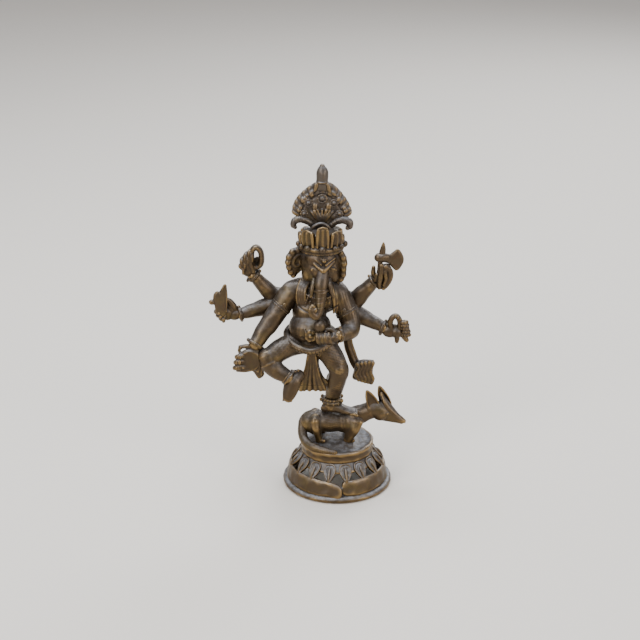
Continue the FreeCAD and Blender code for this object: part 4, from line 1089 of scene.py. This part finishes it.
# ---------------------------------------------------------------- what the hands hold
def build_held(context):
    """What the hands hold: noose, leaf emblem, axe, lotus bud and sweet."""
    loop = [(-42.6, 0.2, 124.2), (-40.5, 0.0, 125.8), (-39.8, -0.4, 129.4), (-40.5, -0.8, 133.2),
            (-42.6, -1.2, 135.5),
            (-44.5, -1.2, 133.8), (-45.0, -0.8, 129.6), (-44.5, -0.2, 125.8)]
    noose = [tube([q + (1.55, 2.3) for q in loop], sides=24, steps=120, closed=True, up=(0, 1, 0)),
             leaf([(-45.0, 123.6), (-42.6, 122.8), (-40.0, 124.4), (-39.8, 128.0), (-41.6, 129.6),
                   (-43.4, 129.2),
                   (-45.0, 127.0)], (0, 1.2, 0), thick=1.8)]
    sculpt("noose", noose, "attribute_bronze", voxel=0.2)

    outline = [(-59.9, 116.7), (-58.9, 117.5), (-57.8, 116.6), (-57.5, 111.6), (-57.6, 106.0),
               (-58.2, 101.5), (-60.0, 98.8), (-62.4, 99.6),
               (-64.2, 101.8), (-64.6, 104.8), (-65.3, 107.2), (-65.3, 109.4), (-64.8, 112.0),
               (-63.3, 113.6),
               (-61.9, 113.3), (-60.8, 115.0)]
    emblem = [leaf(outline, (0, -6.9, 0), thick=2.0, dome=0.35, cup=0.3, samples=90),
              ball((-65.9, -6.9, 107.2), (1.7, 1.4, 1.6)),
              tube([(-58.3, -7.6, 115.4, 0.4), (-58.1, -7.9, 109.0, 0.5), (-58.4, -7.8, 102.4, 0.4)])]
    sculpt("leaf_emblem", emblem, "attribute_bronze", voxel=0.2)

    sculpt("axe_shaft", [tube([(21.0, -2.6, 114.6, 1.2), (21.3, -2.6, 122.0, 1.25),
                               (21.9, -2.6, 127.6, 1.35),
                               (22.6, -2.6, 131.6, 1.75, 1.5), (23.1, -2.6, 134.4, 1.7, 1.3),
                               (23.4, -2.6, 136.8, 1.05, 0.9), (23.5, -2.6, 138.6, 0.45)], sides=24)],
           "attribute_bronze", voxel=0.2)
    outline = [(23.4, 132.2), (26.6, 132.5), (28.9, 134.1), (30.9, 135.2), (32.8, 133.7), (34.1, 130.8),
               (33.9, 127.4),
               (32.3, 124.4), (30.2, 123.3), (28.3, 124.7), (26.4, 126.9), (23.6, 128.4)]
    axe = [leaf(outline, (0, -2.7, 0), thick=1.9, dome=0.3, cup=0.3, samples=90),
           ball((21.2, -2.7, 130.6), (2.4, 2.4, 2.4)),
           tube([(20.9, -2.7, 130.5, 2.2, 2.3), (23.4, -2.7, 130.5, 2.5, 2.4),
                 (26.8, -2.7, 130.0, 2.4, 1.0)],
                up=(0, 1, 0), sides=24)]
    sculpt("axe_head", axe, "attribute_bronze", voxel=0.2)

    beads = [ball((35.7, -4.0, 91.6), (2.2, 2.0, 4.6), (0, -12, 0))]
    for row in range(5):
        for k in range(4):
            a = math.radians(-150 + 40 * k + 20 * (row % 2))
            z = 88.0 + 1.8 * row
            beads.append(ball((36.2 - 0.21 * (z - 88) + 1.8 * math.cos(a), -4.0 + 1.8 * math.sin(a), z),
                              1.05, sides=12))
    for q in smooth([(30.4, -5.4, 98.8), (32.0, -5.5, 97.8), (33.4, -5.2, 96.0), (34.4, -4.8, 94.4)], 5):
        beads.append(ball(q, 0.95, sides=12))
    sculpt("lotus_bud", beads, "attribute_bronze", voxel=0.2, soften=1)

    sweet = [ball((-9.5, -19.0, 98.7), 3.35, sides=40),
             ball((-9.5, -19.6, 101.4), (1.0, 0.9, 0.9), sides=14)]
    sculpt("sweet_ball", sweet, "attribute_bronze", voxel=0.2)


def build_scarf(context):
    """The scarf: a fall of three folds from the left elbow, and a corner behind the open right hand."""
    path = [(3.6, 1.4, 93.0), (4.8, 2.4, 85.0), (6.4, 2.6, 77.0), (9.4, 1.6, 69.4), (13.0, 0.4, 64.4)]
    scarf = []
    for shift, r in ((-1.6, 1.15), (0.0, 1.35), (1.7, 1.15)):
        scarf.append(tube([(x + shift * 0.8, y - 0.3 * (shift == 0), z + shift * 0.6 * k / 4, r)
                           for k, (x, y, z) in enumerate(path)], sides=16))
    scarf.append(tube([(x, y + 0.6, z, 2.4, 1.1) for x, y, z in path], sides=20, up=(0, 1, 0)))
    # Its end is a thick bunch of upright, wavy folds.
    block = [(10.2, 70.4), (13.0, 71.6), (19.0, 71.6), (19.6, 70.4), (19.2, 65.0), (19.0, 59.0),
             (17.6, 57.8), (12.6, 59.0),
             (8.2, 60.6), (8.6, 65.0)]
    scarf.append(leaf(block, (0, 0.0, 0), thick=3.8, dome=0.5, samples=90))
    for k in range(5):
        x = 10.6 + 1.9 * k
        top, low = 71.0 - 0.4 * abs(k - 3), 60.6 - 0.45 * k
        zig = [(x + 0.75 * math.sin(1.3 * i + 0.4 * k), -2.0, top + (low - top) * i / 6,
                1.15) for i in range(7)]
        scarf.append(tube(zig, sides=12))

    def ruffles(p, n):
        """Small irregular tucks across the bunched end."""
        x, y, z = p.T
        tucks = np.maximum(np.sin(z * 2.3 + 1.4 * np.sin(x * 1.7)), 0) ** 3
        return hand_made(p, 0.06) - 0.07 * tucks * (x > 9.5) * (z < 72)

    sculpt("left_scarf", scarf, "cloth_bronze", voxel=0.24, relief=ruffles)

    tab = [leaf([(-45.4, 82.4), (-41.0, 81.2), (-39.6, 76.0), (-39.2, 70.4), (-39.0, 67.9), (-41.8, 65.5),
                 (-44.6, 69.4), (-47.0, 72.0), (-48.4, 77.0)], (0, -11.6, 0), thick=2.8, dome=0.4),
           tube([(-41.0, -12.6, 80.0, 0.8), (-40.6, -13.0, 74.0, 0.9), (-40.4, -12.6, 68.6, 0.8)])]
    sculpt("right_scarf", tab, "cloth_bronze", voxel=0.24)


# ---------------------------------------------------------------- head
def build_head(context):
    """The head with cheeks, brows, eyes and lip, the trunk with its wrinkles, and the tusks."""
    head = [ball((-8.9, -2.8, 128.8), (10.9, 8.8, 9.0)), ball((-8.9, -4.4, 126.4), (10.3, 7.7, 8.8)),
            ball((-9.0, -6.0, 131.2), (8.6, 6.4, 5.6)),
            ball((-9.2, -1.8, 135.6), (9.2, 8.0, 7.0)), ball((-8.8, -0.6, 138.2), (6.4, 6.0, 5.4)),
            ball((-9.0, -4.4, 124.2), (9.4, 7.4, 7.4)),
            ball((-15.0, -5.6, 124.0), (3.9, 4.6, 5.6), (0, 14, 0)),
            ball((-2.9, -5.6, 123.6), (3.7, 4.6, 5.6), (0, -14, 0)),
            ball((-8.8, -8.4, 125.4), (6.0, 5.0, 5.6)), ball((-8.9, -6.0, 117.8), (5.4, 4.4, 3.0)),
            # Brows: two broad ridges that meet over the trunk in a V, each with a second, thinner fold
            # above.
            tube([(-14.2, -9.4, 131.2, 0.7), (-12.4, -11.2, 130.2, 0.95), (-10.0, -12.7, 128.3, 1.05),
                  (-7.9, -13.7, 126.8, 1.35)]),
            tube([(-2.0, -9.4, 130.8, 0.7), (-3.6, -11.0, 129.7, 0.9), (-5.6, -12.5, 128.1, 1.0),
                  (-7.7, -13.7, 126.8, 1.3)]),
            tube([(-14.0, -9.9, 133.2, 0.4), (-11.2, -11.8, 132.0, 0.6), (-8.8, -12.9, 130.0, 0.55)]),
            tube([(-1.6, -9.6, 132.6, 0.4), (-4.0, -11.6, 131.3, 0.6), (-6.4, -12.9, 129.7, 0.55)]),
            ball((-7.3, -12.7, 131.8), (1.35, 0.9, 1.0)),
            tube([(-9.2, -11.9, 132.0, 0.35), (-7.3, -12.5, 133.2, 0.4), (-5.4, -11.9, 132.0, 0.35)]),
            ball((-7.8, -13.9, 126.9), (1.7, 1.0, 1.5))]
    # Small almond eyes sit close under the brows.
    for side in (-1, 1):
        x = -7.9 + side * 4.9
        head.append(ball((x, -10.9, 126.7 + 0.2 * side), (1.7, 1.0, 0.9), (0, -14 * side, -side * 20)))
        for lift, r in ((0.9, 0.38), (-0.9, 0.32)):
            head.append(tube([(x - 2.0, -10.2 - 0.3 * (side > 0), 126.7 + 0.35 * side, r),
                              (x, -11.6, 126.7 + lift, r),
                              (x + 2.0, -10.2 - 0.3 * (side < 0), 126.7 - 0.35 * side, r)], sides=10))
    # The mouth's corners and a pointed lower lip show beside the trunk.
    head += [tube([(-13.2, -9.8, 119.8, 0.7), (-11.4, -11.6, 117.8, 0.85), (-8.8, -12.2, 116.8, 0.9),
                   (-6.2, -11.6, 117.6, 0.85), (-4.4, -9.8, 119.4, 0.7)])]
    sculpt("head", head, "skin_bronze", voxel=0.27, soften=3, relief=lambda p, n: hand_made(p, 0.08))

    path = [(-7.9, -9.6, 126.6, 3.7, 3.7), (-8.1, -12.2, 123.2, 3.5, 3.5), (-8.7, -14.4, 119.2, 3.5, 3.3),
            (-8.9, -15.8, 115.2, 3.0, 2.9), (-9.2, -17.2, 110.8, 2.6, 2.5), (-9.9, -18.8, 106.6, 2.3, 2.2),
            (-11.4, -20.0, 104.6, 2.15, 2.1), (-13.2, -20.6, 105.9, 2.0, 1.9),
            (-13.8, -20.4, 108.4, 1.9, 1.6),
            (-13.0, -20.2, 109.8, 1.6, 1.3)]

    def wrinkles(p, n):
        """Rings across the trunk: faint grooves evenly spaced down its length, one deep ring under the
        brow."""
        x, y, z = p.T
        rows = np.maximum(np.sin(z * 2.6 + 0.5 * np.sin(x)), 0) ** 4
        shown = np.clip((z - 106.0) / 2.0, 0, 1) * np.clip((118.5 - z) / 3.0, 0, 1)
        band = np.exp(-((z - 118.2) / 0.4) ** 2)
        return hand_made(p, 0.05) - 0.09 * rows * shown - 0.15 * band

    trunk = [tube(path, sides=32, steps=90), hoop((-8.8, -15.2, 117.2), (0, -0.35, 1), 3.1, 0.5, sides=10),
             ball((-12.0, -21.2, 107.6), (1.0, 0.8, 2.0), (0, 24, 0))]
    sculpt("trunk", trunk, "skin_bronze", voxel=0.22, relief=wrinkles)

    tusks = [tube([(-12.6, -11.4, 121.4, 1.4), (-13.0, -13.8, 119.4, 1.3), (-13.6, -15.4, 116.6, 1.15),
                   (-13.9, -15.9, 113.8, 0.7)], sides=16),
             tube([(-4.6, -11.2, 121.2, 1.4), (-4.4, -13.8, 119.4, 1.3), (-3.6, -15.0, 116.2, 1.1),
                   (-2.2, -15.4, 112.9, 0.65)], sides=16)]
    sculpt("tusks", tusks, "attribute_bronze", voxel=0.2)


def build_ears(context):
    """Each ear is a dished leaf whose rim is a row of overlapping lumps, with a curl of cartilage
    inside."""
    def ear(rim, outline, curl, turn, at):
        parts = [leaf(outline, (0, 0, 0), thick=3.4, dome=-0.2, cup=-0.3)]
        parts.append(tube([(x * 0.92, 0.2, z * 0.95, r * 1.15) for x, z, r in rim], sides=20))
        parts += [ball((x, -0.1, z), r * 1.2, sides=18) for x, z, r in rim]
        parts.append(tube([(x, -0.9, z, 1.1) for x, z in curl], sides=12))
        return [moved(part, at, x=turn[0], y=turn[1], z=turn[2]) for part in parts]

    right = ear([(3.2, 6.0, 1.6), (0.4, 6.6, 1.7), (-2.4, 5.6, 1.8), (-4.2, 3.2, 1.7), (-4.8, 0.4, 1.6),
                 (-4.4, -2.4, 1.6),
                 (-3.6, -5.0, 1.5), (-2.2, -7.0, 1.3), (0.2, -4.8, 1.2), (2.2, -3.4, 1.4)],
                [(4.6, 6.6), (0.4, 7.2), (-3.4, 5.6), (-4.8, 2.0), (-4.8, -2.0), (-3.6, -6.0), (-1.8, -7.6),
                 (0.0, -5.0),
                 (3.8, -3.0), (5.4, 0.0), (5.6, 4.0)],
                [(3.4, 3.6), (0.6, 4.2), (-1.8, 2.6), (-2.4, -0.2), (-0.8, -1.8), (1.2, -1.0), (1.2, 0.8)],
                (0, 0, 16), (-21.2, -1.6, 127.6))
    sculpt("right_ear", right, "skin_bronze", voxel=0.25)
    left = ear([(-1.6, 7.6, 1.4), (1.0, 6.8, 1.6), (2.6, 4.4, 1.6), (3.0, 1.4, 1.6), (2.6, -1.6, 1.6),
                (2.4, -4.6, 1.5),
                (1.2, -7.2, 1.5), (-0.4, -8.8, 1.2), (-1.6, -6.0, 1.2)],
               [(-4.4, 7.4), (0.0, 8.0), (2.6, 5.6), (3.2, 1.0), (2.8, -3.4), (1.6, -7.6), (-0.2, -9.6),
                (-2.4, -6.4),
                (-4.6, -1.0), (-4.8, 4.0)],
               [(-2.4, 4.6), (0.0, 4.4), (1.0, 2.0), (0.4, -0.8), (-1.0, -1.2), (-1.4, 0.4)],
               (0, 0, -22), (0.3, -4.0, 126.6))
    sculpt("left_ear", left, "skin_bronze", voxel=0.25)


# ---------------------------------------------------------------- crown and hood
CROWN_X, CROWN_Y = -8.6, -2.6
# Each plaque: degrees round +Z from +X, height, half width, outward lean in degrees.
PLAQUES = ((-173, 5.2, 3.2, 10), (-130, 8.2, 3.9, 5), (-87, 10.8, 3.2, 3), (-46, 7.6, 3.9, 5),
           (-6, 3.4, 3.2, 10),
           (38, 5.2, 3.0, 6), (142, 5.2, 3.0, 6))


def build_crown(context):
    """The crown: a triple band, upright fluted plaques round a cap, and beads at their feet."""
    def spot(angle, radius, z):
        a = math.radians(angle)
        return (CROWN_X + radius * 0.98 * math.cos(a), CROWN_Y + radius * math.sin(a), z)

    band = []
    for z, radius, r in ((135.7, 10.7, 0.8), (137.6, 10.6, 1.4), (139.7, 10.3, 0.9)):
        ring = [spot(a, radius, z) + (r,) for a in range(0, 360, 15)]
        band.append(tube(ring, sides=14, steps=150, closed=True, up=(0, 0, 1)))
    sculpt("crown_band", band, "ornament_bronze", voxel=0.24,
           relief=lambda p, n: hand_made(p, 0.08) - 0.10 * np.maximum(
               np.sin(np.arctan2(p[:, 1] - CROWN_Y, p[:, 0] - CROWN_X) * 30), 0) ** 2 * (p[:, 2] < 136.2))

    # The cap the plaques stand against.
    leaves = [tube([(CROWN_X, CROWN_Y, 136.4, 9.8), (CROWN_X, CROWN_Y, 141.0, 9.7),
                    (CROWN_X, CROWN_Y, 144.6, 9.0)],
                   sides=48, blunt=0.12)]
    for angle, tall, wide, lean in PLAQUES:
        outline = [(-wide, 0.0), (-wide * 1.02, tall * 0.5), (-wide * 0.98, tall * 0.82),
                   (-wide * 0.72, tall * 0.97), (0, tall * 1.03),
                   (wide * 0.72, tall * 0.97), (wide * 0.98, tall * 0.82), (wide * 1.02, tall * 0.5),
                   (wide, 0.0), (0, -0.6)]
        plaque = [leaf(outline, (0, 0, 0), thick=3.2, samples=90)]
        # Upright ridges: the two edges and a wider one between them, joined by a roll across the top.
        for x, r in ((-0.8, 0.95), (0.0, 1.2), (0.8, 0.95)):
            plaque.append(tube([(x * wide, -0.8, 0.4, r), (x * wide, -1.0, tall * 0.5, r),
                                (x * wide * 0.86, -0.8, tall * 0.88, r)],
                               sides=14))
        plaque.append(tube([(-wide * 0.7, -0.6, tall * 0.93, 0.7), (0, -0.8, tall, 0.8),
                            (wide * 0.7, -0.6, tall * 0.93, 0.7)],
                           sides=12))
        x, y, _ = spot(angle, 9.9, 0)
        leaves += [moved(part, (x, y, 139.4), x=lean, z=angle + 90.0) for part in plaque]
    sculpt("crown_leaves", leaves, "ornament_bronze", voxel=0.24, soften=2)

    beads = []
    for angle, r in ((-176, 1.6), (-150, 1.7), (-128, 1.8), (-88, 2.0), (-54, 1.7), (-30, 1.6), (-4, 1.9)):
        x, y, z = spot(angle, 12.0, 138.4)
        beads.append(ball((x, y, z), (r, r * 0.9, r), sides=24))
    sculpt("crown_beads", beads, "ornament_bronze", voxel=0.22, soften=1)


FAN_OUTLINE = [(5.0, 150.6), (6.4, 152.0), (7.2, 154.2), (6.1, 157.2), (4.6, 160.2), (2.8, 162.9),
               (0.9, 165.2),
               (-1.6, 167.6), (-4.8, 169.4), (-8.3, 170.2), (-11.6, 169.4), (-14.8, 167.6), (-18.0, 165.2),
               (-20.6, 162.4), (-22.4, 159.6), (-23.6, 156.6), (-24.0, 153.6), (-22.8, 151.8),
               (-19.6, 150.4),
               (-16.2, 149.4), (-13.9, 147.2), (-12.6, 143.6), (-8.6, 142.8), (-4.6, 143.6), (-3.4, 146.6),
               (-0.4, 149.0), (2.5, 149.8)]


def build_hood(context):
    """The hood: a fluted fan with ribs and bosses, two curls, an arch at its foot, and the finial."""
    foot_x, foot_z = -8.4, 146.4
    rim = smooth(FAN_OUTLINE, 360, closed=True)
    rim_angle = np.arctan2(rim[:, 1] - foot_z, rim[:, 0] - foot_x)
    rim_reach = np.hypot(rim[:, 1] - foot_z, rim[:, 0] - foot_x)
    order = np.argsort(rim_angle)

    def flutes(p, n):
        """Share is the distance from the foot as a part of the rim's distance in that direction. The front
        carries fine flutes outside 0.70 of the way, a groove there, and broad lobes inside it; the back is
        fluted lightly."""
        x, y, z = p.T
        angle = np.arctan2(z - foot_z, x - foot_x)
        reach = np.interp(angle, rim_angle[order], rim_reach[order])
        share = np.hypot(z - foot_z, x - foot_x) / reach
        upper = np.clip((angle - 0.12) / 0.2, 0, 1) * np.clip((math.pi - 0.12 - angle) / 0.2, 0, 1)
        outer = np.clip((share - 0.70) / 0.08, 0, 1) * upper
        fine = np.abs(np.sin(angle * 19.0 + 0.3))
        height = outer * (0.50 * fine - 0.25)
        height = height - 0.35 * np.exp(-((share - 0.70) / 0.03) ** 2) * upper
        inner = np.clip((0.66 - share) / 0.08, 0, 1) * np.clip((share - 0.30) / 0.1, 0, 1) * upper
        height = height + inner * 0.30 * np.sin(angle * 9.0 + share * 6.0)
        front = np.clip((-n[:, 1] - 0.1) / 0.3, 0, 1)
        back = np.clip((n[:, 1] - 0.1) / 0.3, 0, 1)
        return hand_made(p, 0.08) + height * (front + 0.35 * back)

    fan = [leaf(FAN_OUTLINE, (0, 3.1, 0), thick=3.4, dome=-0.2, samples=260)]
    for k in range(7):
        a = math.radians(38 + 104 * k / 6)
        fan.append(tube([(foot_x + 1.2 * math.cos(a), 1.3, 147.0, 0.55),
                         (foot_x + 3.4 * math.cos(a), 1.0, 150.4, 0.6),
                         (foot_x + 7.2 * math.cos(a), 1.1, 152.4 + 2.6 * math.sin(a), 0.6)], sides=12))
    for x, z, r in ((-19.8, 155.4, 1.5), (-17.6, 160.4, 1.4), (-13.4, 163.2, 1.2), (-4.2, 163.4, 1.2),
                    (0.6, 159.8, 1.4),
                    (3.6, 155.0, 1.4), (-12.0, 156.6, 1.5), (-5.0, 156.6, 1.5)):
        fan.append(ball((x, 1.6, z), (r, 1.0, r * 1.25), sides=18))
    fan.append(tube([(-8.6, 2.8, 141.0, 5.2, 2.6), (-8.5, 2.9, 145.6, 4.5, 2.1),
                     (-8.4, 3.0, 150.0, 5.4, 1.7)],
                    up=(0, 1, 0), sides=28))
    for side in (-1, 1):
        fan.append(tube([(foot_x + side * 7.4, 1.8, 162.6, 0.8), (foot_x + side * 4.2, 1.5, 165.2, 0.95),
                         (foot_x + side * 2.6, 1.6, 168.6, 0.9)], sides=12))
    sculpt("hood_fan", fan, "hood_bronze", voxel=0.26, soften=1, relief=flutes)

    curls = [tube([(-12.6, 2.4, 145.6, 1.5), (-15.6, 1.8, 148.4, 1.7), (-19.2, 1.4, 149.9, 1.8),
                   (-22.3, 1.4, 149.2, 1.9),
                   (-23.1, 1.4, 147.0, 1.7), (-22.3, 1.3, 145.8, 1.2)], sides=20),
             tube([(-4.2, 2.4, 145.6, 1.5), (-1.2, 1.8, 148.4, 1.8), (2.4, 1.3, 149.6, 2.0),
                   (5.4, 1.3, 148.6, 2.1),
                   (6.1, 1.3, 146.4, 1.8), (5.0, 1.3, 145.4, 1.3)], sides=20)]
    sculpt("hood_curls", curls, "hood_bronze", voxel=0.22,
           relief=lambda p, n: hand_made(p, 0.06) - 0.10 * np.maximum(np.sin(p[:, 0] * 2.4 + p[:, 2]),
                                                                      0) ** 4)

    arch = [tube([(-14.4, -0.6, 143.6, 0.95), (-12.6, -1.4, 146.8, 1.05), (-9.0, -1.8, 148.6, 1.05),
                  (-5.6, -1.4, 147.0, 1.05),
                  (-4.0, -0.6, 144.2, 0.95)], sides=16),
            tube([(-12.4, -0.2, 145.0, 0.7), (-9.0, -0.6, 147.4, 0.8), (-5.8, -0.2, 145.2, 0.7)], sides=12)]
    sculpt("hood_arch", arch, "hood_bronze", voxel=0.22)

    finial = [tube([(-8.3, 3.0, 166.0, 3.9, 2.0), (-8.3, 3.0, 168.6, 3.2, 2.3),
                    (-8.3, 3.0, 170.4, 3.0, 2.6),
                    (-8.2, 3.0, 172.6, 3.15, 2.8), (-8.2, 3.0, 174.6, 3.1, 2.8),
                    (-8.2, 3.0, 176.6, 2.35, 2.2),
                    (-8.2, 3.0, 178.0, 1.35)], sides=32, up=(0, 1, 0)),
              ball((-8.1, 0.9, 173.2), (1.6, 1.0, 2.6), sides=20),
              hoop((-8.3, 3.0, 169.6), (0, 0, 1), 2.7, 0.45)]
    sculpt("hood_finial", finial, "hood_bronze", voxel=0.22)

    bosses = []
    for x, z, r in ((-8.3, 161.0, 2.4), (-15.3, 158.6, 2.0), (-2.2, 158.6, 2.0), (-17.6, 153.0, 1.7),
                    (0.6, 153.0, 1.7)):
        bosses += [ball((x, 1.4, z), (r * 0.62, 1.4, r * 0.62), sides=20),
                   hoop((x, 1.3, z), (0, 1, 0), r * 0.92, 0.5, lumps=8, lump=0.4)]
    sculpt("hood_bosses", bosses, "hood_bronze", voxel=0.2, soften=2)


# ---------------------------------------------------------------- stage
def build_stage(context):
    """The studio: a pale floor that sweeps up behind, four round soft lamps, the sky's light and the
    camera."""
    look = context.scene.statuette_stage
    t = np.linspace(0, 1, 60)
    # The sweep's profile: flat floor, then a quarter circle of 1.2 m, then an upright wall, carried along
    # X.
    y = np.concatenate([np.linspace(-4.0, 2.6, 12), 2.6 + 1.2 * np.sin(t * math.pi / 2), [3.8]])
    z = np.concatenate([np.zeros(12), 1.2 - 1.2 * np.cos(t * math.pi / 2), [4.0]])
    x = np.linspace(-5.0, 5.0, 12)
    rows = np.stack([np.broadcast_to(x, (len(y), 12)), np.broadcast_to(y[:, None], (len(y), 12)),
                     np.broadcast_to(z[:, None], (len(y), 12))], -1).reshape(-1, 3)
    index = np.arange(len(rows)).reshape(len(y), 12)
    quads = np.stack([index[:-1, :-1], index[:-1, 1:], index[1:, 1:], index[1:, :-1]], -1).reshape(-1, 4)
    mesh = mesh_of("studio_sweep", rows, quads, np.zeros((0, 3), int))
    floor = bpy.data.objects.new("studio_sweep", mesh)
    context.scene.collection.objects.link(floor)
    paint = bpy.data.materials.new("sweep_paint")
    paint.use_nodes = True
    shader = paint.node_tree.nodes["Principled BSDF"]
    shader.inputs["Base Color"].default_value = tuple(look.floor) + (1,)
    shader.inputs["Roughness"].default_value = 0.75
    mesh.materials.append(paint)

    for name, place, target, size, power, colour in (
            ("softbox_over", (-0.15, 0.10, 1.10), (0, 0, 0.09), 0.9, look.over, (0.88, 0.94, 1.0)),
            ("softbox_front_left", (-0.85, -1.0, 0.75), (0, 0, 0.10), 0.7, look.front, (1.0, 0.96, 0.90)),
            ("softbox_front_right", (0.95, -0.75, 0.45), (0, 0, 0.09), 0.6, look.side, (1.0, 0.93, 0.84)),
            ("softbox_back", (0.5, 1.0, 0.8), (0, 0, 0.10), 0.7, look.back, (0.93, 0.97, 1.0))):
        lamp = bpy.data.lights.new(name, "AREA")
        lamp.shape = "DISK"
        lamp.size = size
        lamp.energy = power
        lamp.color = colour
        holder = bpy.data.objects.new(name, lamp)
        aim = np.array(target) - np.array(place)
        holder.location = place
        holder.rotation_euler = (math.acos(-aim[2] / np.linalg.norm(aim)), 0.0,
                                 math.atan2(aim[1], aim[0]) - math.pi / 2)
        context.scene.collection.objects.link(holder)

    world = bpy.data.worlds.new("pale_studio")
    world.use_nodes = True
    world.node_tree.nodes["Background"].inputs["Color"].default_value = (0.93, 0.95, 1.0, 1)
    world.node_tree.nodes["Background"].inputs["Strength"].default_value = look.ambient
    context.scene.world = world

    lens = bpy.data.cameras.new("camera")
    lens.lens = LENS_MM
    lens.sensor_width = FILM_MM
    lens.clip_start = 0.01
    camera = bpy.data.objects.new("camera", lens)
    camera.location = EYE
    camera.rotation_euler = (math.radians(90.0 - LOOKS_DOWN), 0, 0)
    context.scene.collection.objects.link(camera)
    context.scene.camera = camera


# ---------------------------------------------------------------- add-on
class StatuetteSizes(bpy.types.PropertyGroup):
    fineness: FloatProperty(name="Fineness",
                            description="Size of the smallest modelled detail, as a share of the usual",
                            default=1.0, min=0.7, max=3.0)
    petals: IntProperty(name="Petals", description="Number of lotus petals round the base", default=16,
                        min=8, max=24)


class StatuetteMetal(bpy.types.PropertyGroup):
    patina: FloatVectorProperty(name="Patina", description="Colour of the aged metal", subtype="COLOR",
                                default=(0.074, 0.048, 0.023), min=0, max=1)
    worn: FloatVectorProperty(name="Worn", description="Colour where hands have rubbed it", subtype="COLOR",
                              default=(0.255, 0.165, 0.068), min=0, max=1)
    # Colour that the painted shade and grime darken hollows and crevices to.
    recess_grime_and_shade: FloatVectorProperty(name="Recess grime and shade", description="Colour of grime in the hollows",
                                subtype="COLOR",
                                default=(0.022, 0.015, 0.010), min=0, max=1)
    # Colour and amount of a painted sky reflection, with some dust, on faces that look up.
    dust_and_sky_sheen: FloatVectorProperty(name="Dust and sky sheen", description="Colour of the dusty bloom on faces that look up",
                               subtype="COLOR", default=(0.230, 0.235, 0.255), min=0, max=1)
    wear_amount: FloatProperty(name="Wear", description="How strongly high spots are rubbed", default=1.0,
                               min=0, max=2)
    dust_and_sky_sheen_amount: FloatProperty(name="Dust and sky sheen amount", description="How strong the bloom is", default=1.0,
                                min=0, max=2)


class StatuetteStage(bpy.types.PropertyGroup):
    floor: FloatVectorProperty(name="Floor", description="Colour of the studio floor", subtype="COLOR",
                               default=(0.74, 0.69, 0.63), min=0, max=1)
    over: FloatProperty(name="Overhead", description="Power of the light above", default=16.0, unit="POWER")
    front: FloatProperty(name="Front", description="Power of the light in front", default=12.0,
                         unit="POWER")
    side: FloatProperty(name="Side", description="Power of the light at the side", default=7.0,
                        unit="POWER")
    back: FloatProperty(name="Back", description="Power of the light behind", default=8.0, unit="POWER")
    ambient: FloatProperty(name="Ambient", description="Strength of the light from all round", default=0.55)


def operator(key, label, text, build):
    """An Operator class that runs one build function and raises if it fails."""
    def execute(self, context):
        build(context)
        return {"FINISHED"}
    return type("STATUETTE_OT_" + key, (bpy.types.Operator,), {
        "bl_idname": "statuette." + key, "bl_label": label, "__doc__": text,
                                                               "bl_options": {"REGISTER", "UNDO"},
        "execute": execute})


STEPS = [
    operator("base", "Lotus base", "Makes the flange, the band, the collar and the petals", build_base),
    operator("plinth", "Plinth", "Makes the round plinth", build_plinth),
    operator("rat", "Rat", "Makes the rat's body, head, ears and tail", build_rat),
    operator("legs", "Legs", "Makes both legs, both feet and the anklets", build_legs),
    operator("torso", "Torso and dress", "Makes the torso, belt, sash, necklace and thread", build_torso),
    operator("arms", "Arms", "Makes the six arms", build_arms),
    operator("hands", "Hands", "Makes the six hands", build_hands),
    operator("bangles", "Bangles", "Makes the bangles and armlets", build_bangles),
    operator("held", "Held things", "Makes the noose, emblem, axe, bud and sweet", build_held),
    operator("scarf", "Scarf", "Makes both ends of the scarf", build_scarf),
    operator("head", "Head", "Makes the head, trunk and tusks", build_head),
    operator("ears", "Ears", "Makes both ears", build_ears),
    operator("crown", "Crown", "Makes the crown's band, plaques and beads", build_crown),
    operator("hood", "Hood", "Makes the hood, its curls, arch, bosses and finial", build_hood),
    # This step paints shade into crevices between pieces, with some grime.
    operator("age", "Grime", "Marks crevices where grime gathers", paint_crevice_shade),
    operator("stage", "Stage", "Makes the floor, the lights and the camera", build_stage),
]


class STATUETTE_PT_panel(bpy.types.Panel):
    """Lists the sizes, colours and build steps of the statuette"""
    bl_label = "Statuette"
    bl_idname = "STATUETTE_PT_panel"
    bl_space_type = "VIEW_3D"
    bl_region_type = "UI"
    bl_category = "Statuette"

    def draw(self, context):
        column = self.layout.column()
        for group in (context.scene.statuette_sizes, context.scene.statuette_metal,
                      context.scene.statuette_stage):
            for name in group.bl_rna.properties.keys():
                if name not in ("rna_type", "name"):
                    column.prop(group, name)
        for step in STEPS:
            column.operator(step.bl_idname)


GROUPS = {"statuette_sizes": StatuetteSizes, "statuette_metal": StatuetteMetal,
          "statuette_stage": StatuetteStage}


def register():
    """Makes the settings, the steps and the panel known to Blender."""
    for name, group in GROUPS.items():
        bpy.utils.register_class(group)
        setattr(bpy.types.Scene, name, PointerProperty(type=group))
    for step in STEPS:
        bpy.utils.register_class(step)
    bpy.utils.register_class(STATUETTE_PT_panel)


def unregister():
    """Takes all of them back out."""
    bpy.utils.unregister_class(STATUETTE_PT_panel)
    for step in reversed(STEPS):
        bpy.utils.unregister_class(step)
    for name, group in GROUPS.items():
        delattr(bpy.types.Scene, name)
        bpy.utils.unregister_class(group)


def main():
    """Runs every step in order and writes down the size of the CAD box and of the finished statuette."""
    register()
    for step in STEPS:
        getattr(bpy.ops.statuette, step.bl_idname.split(".")[1])()
    bpy.context.view_layer.update()


if __name__ == "__main__":
    main()
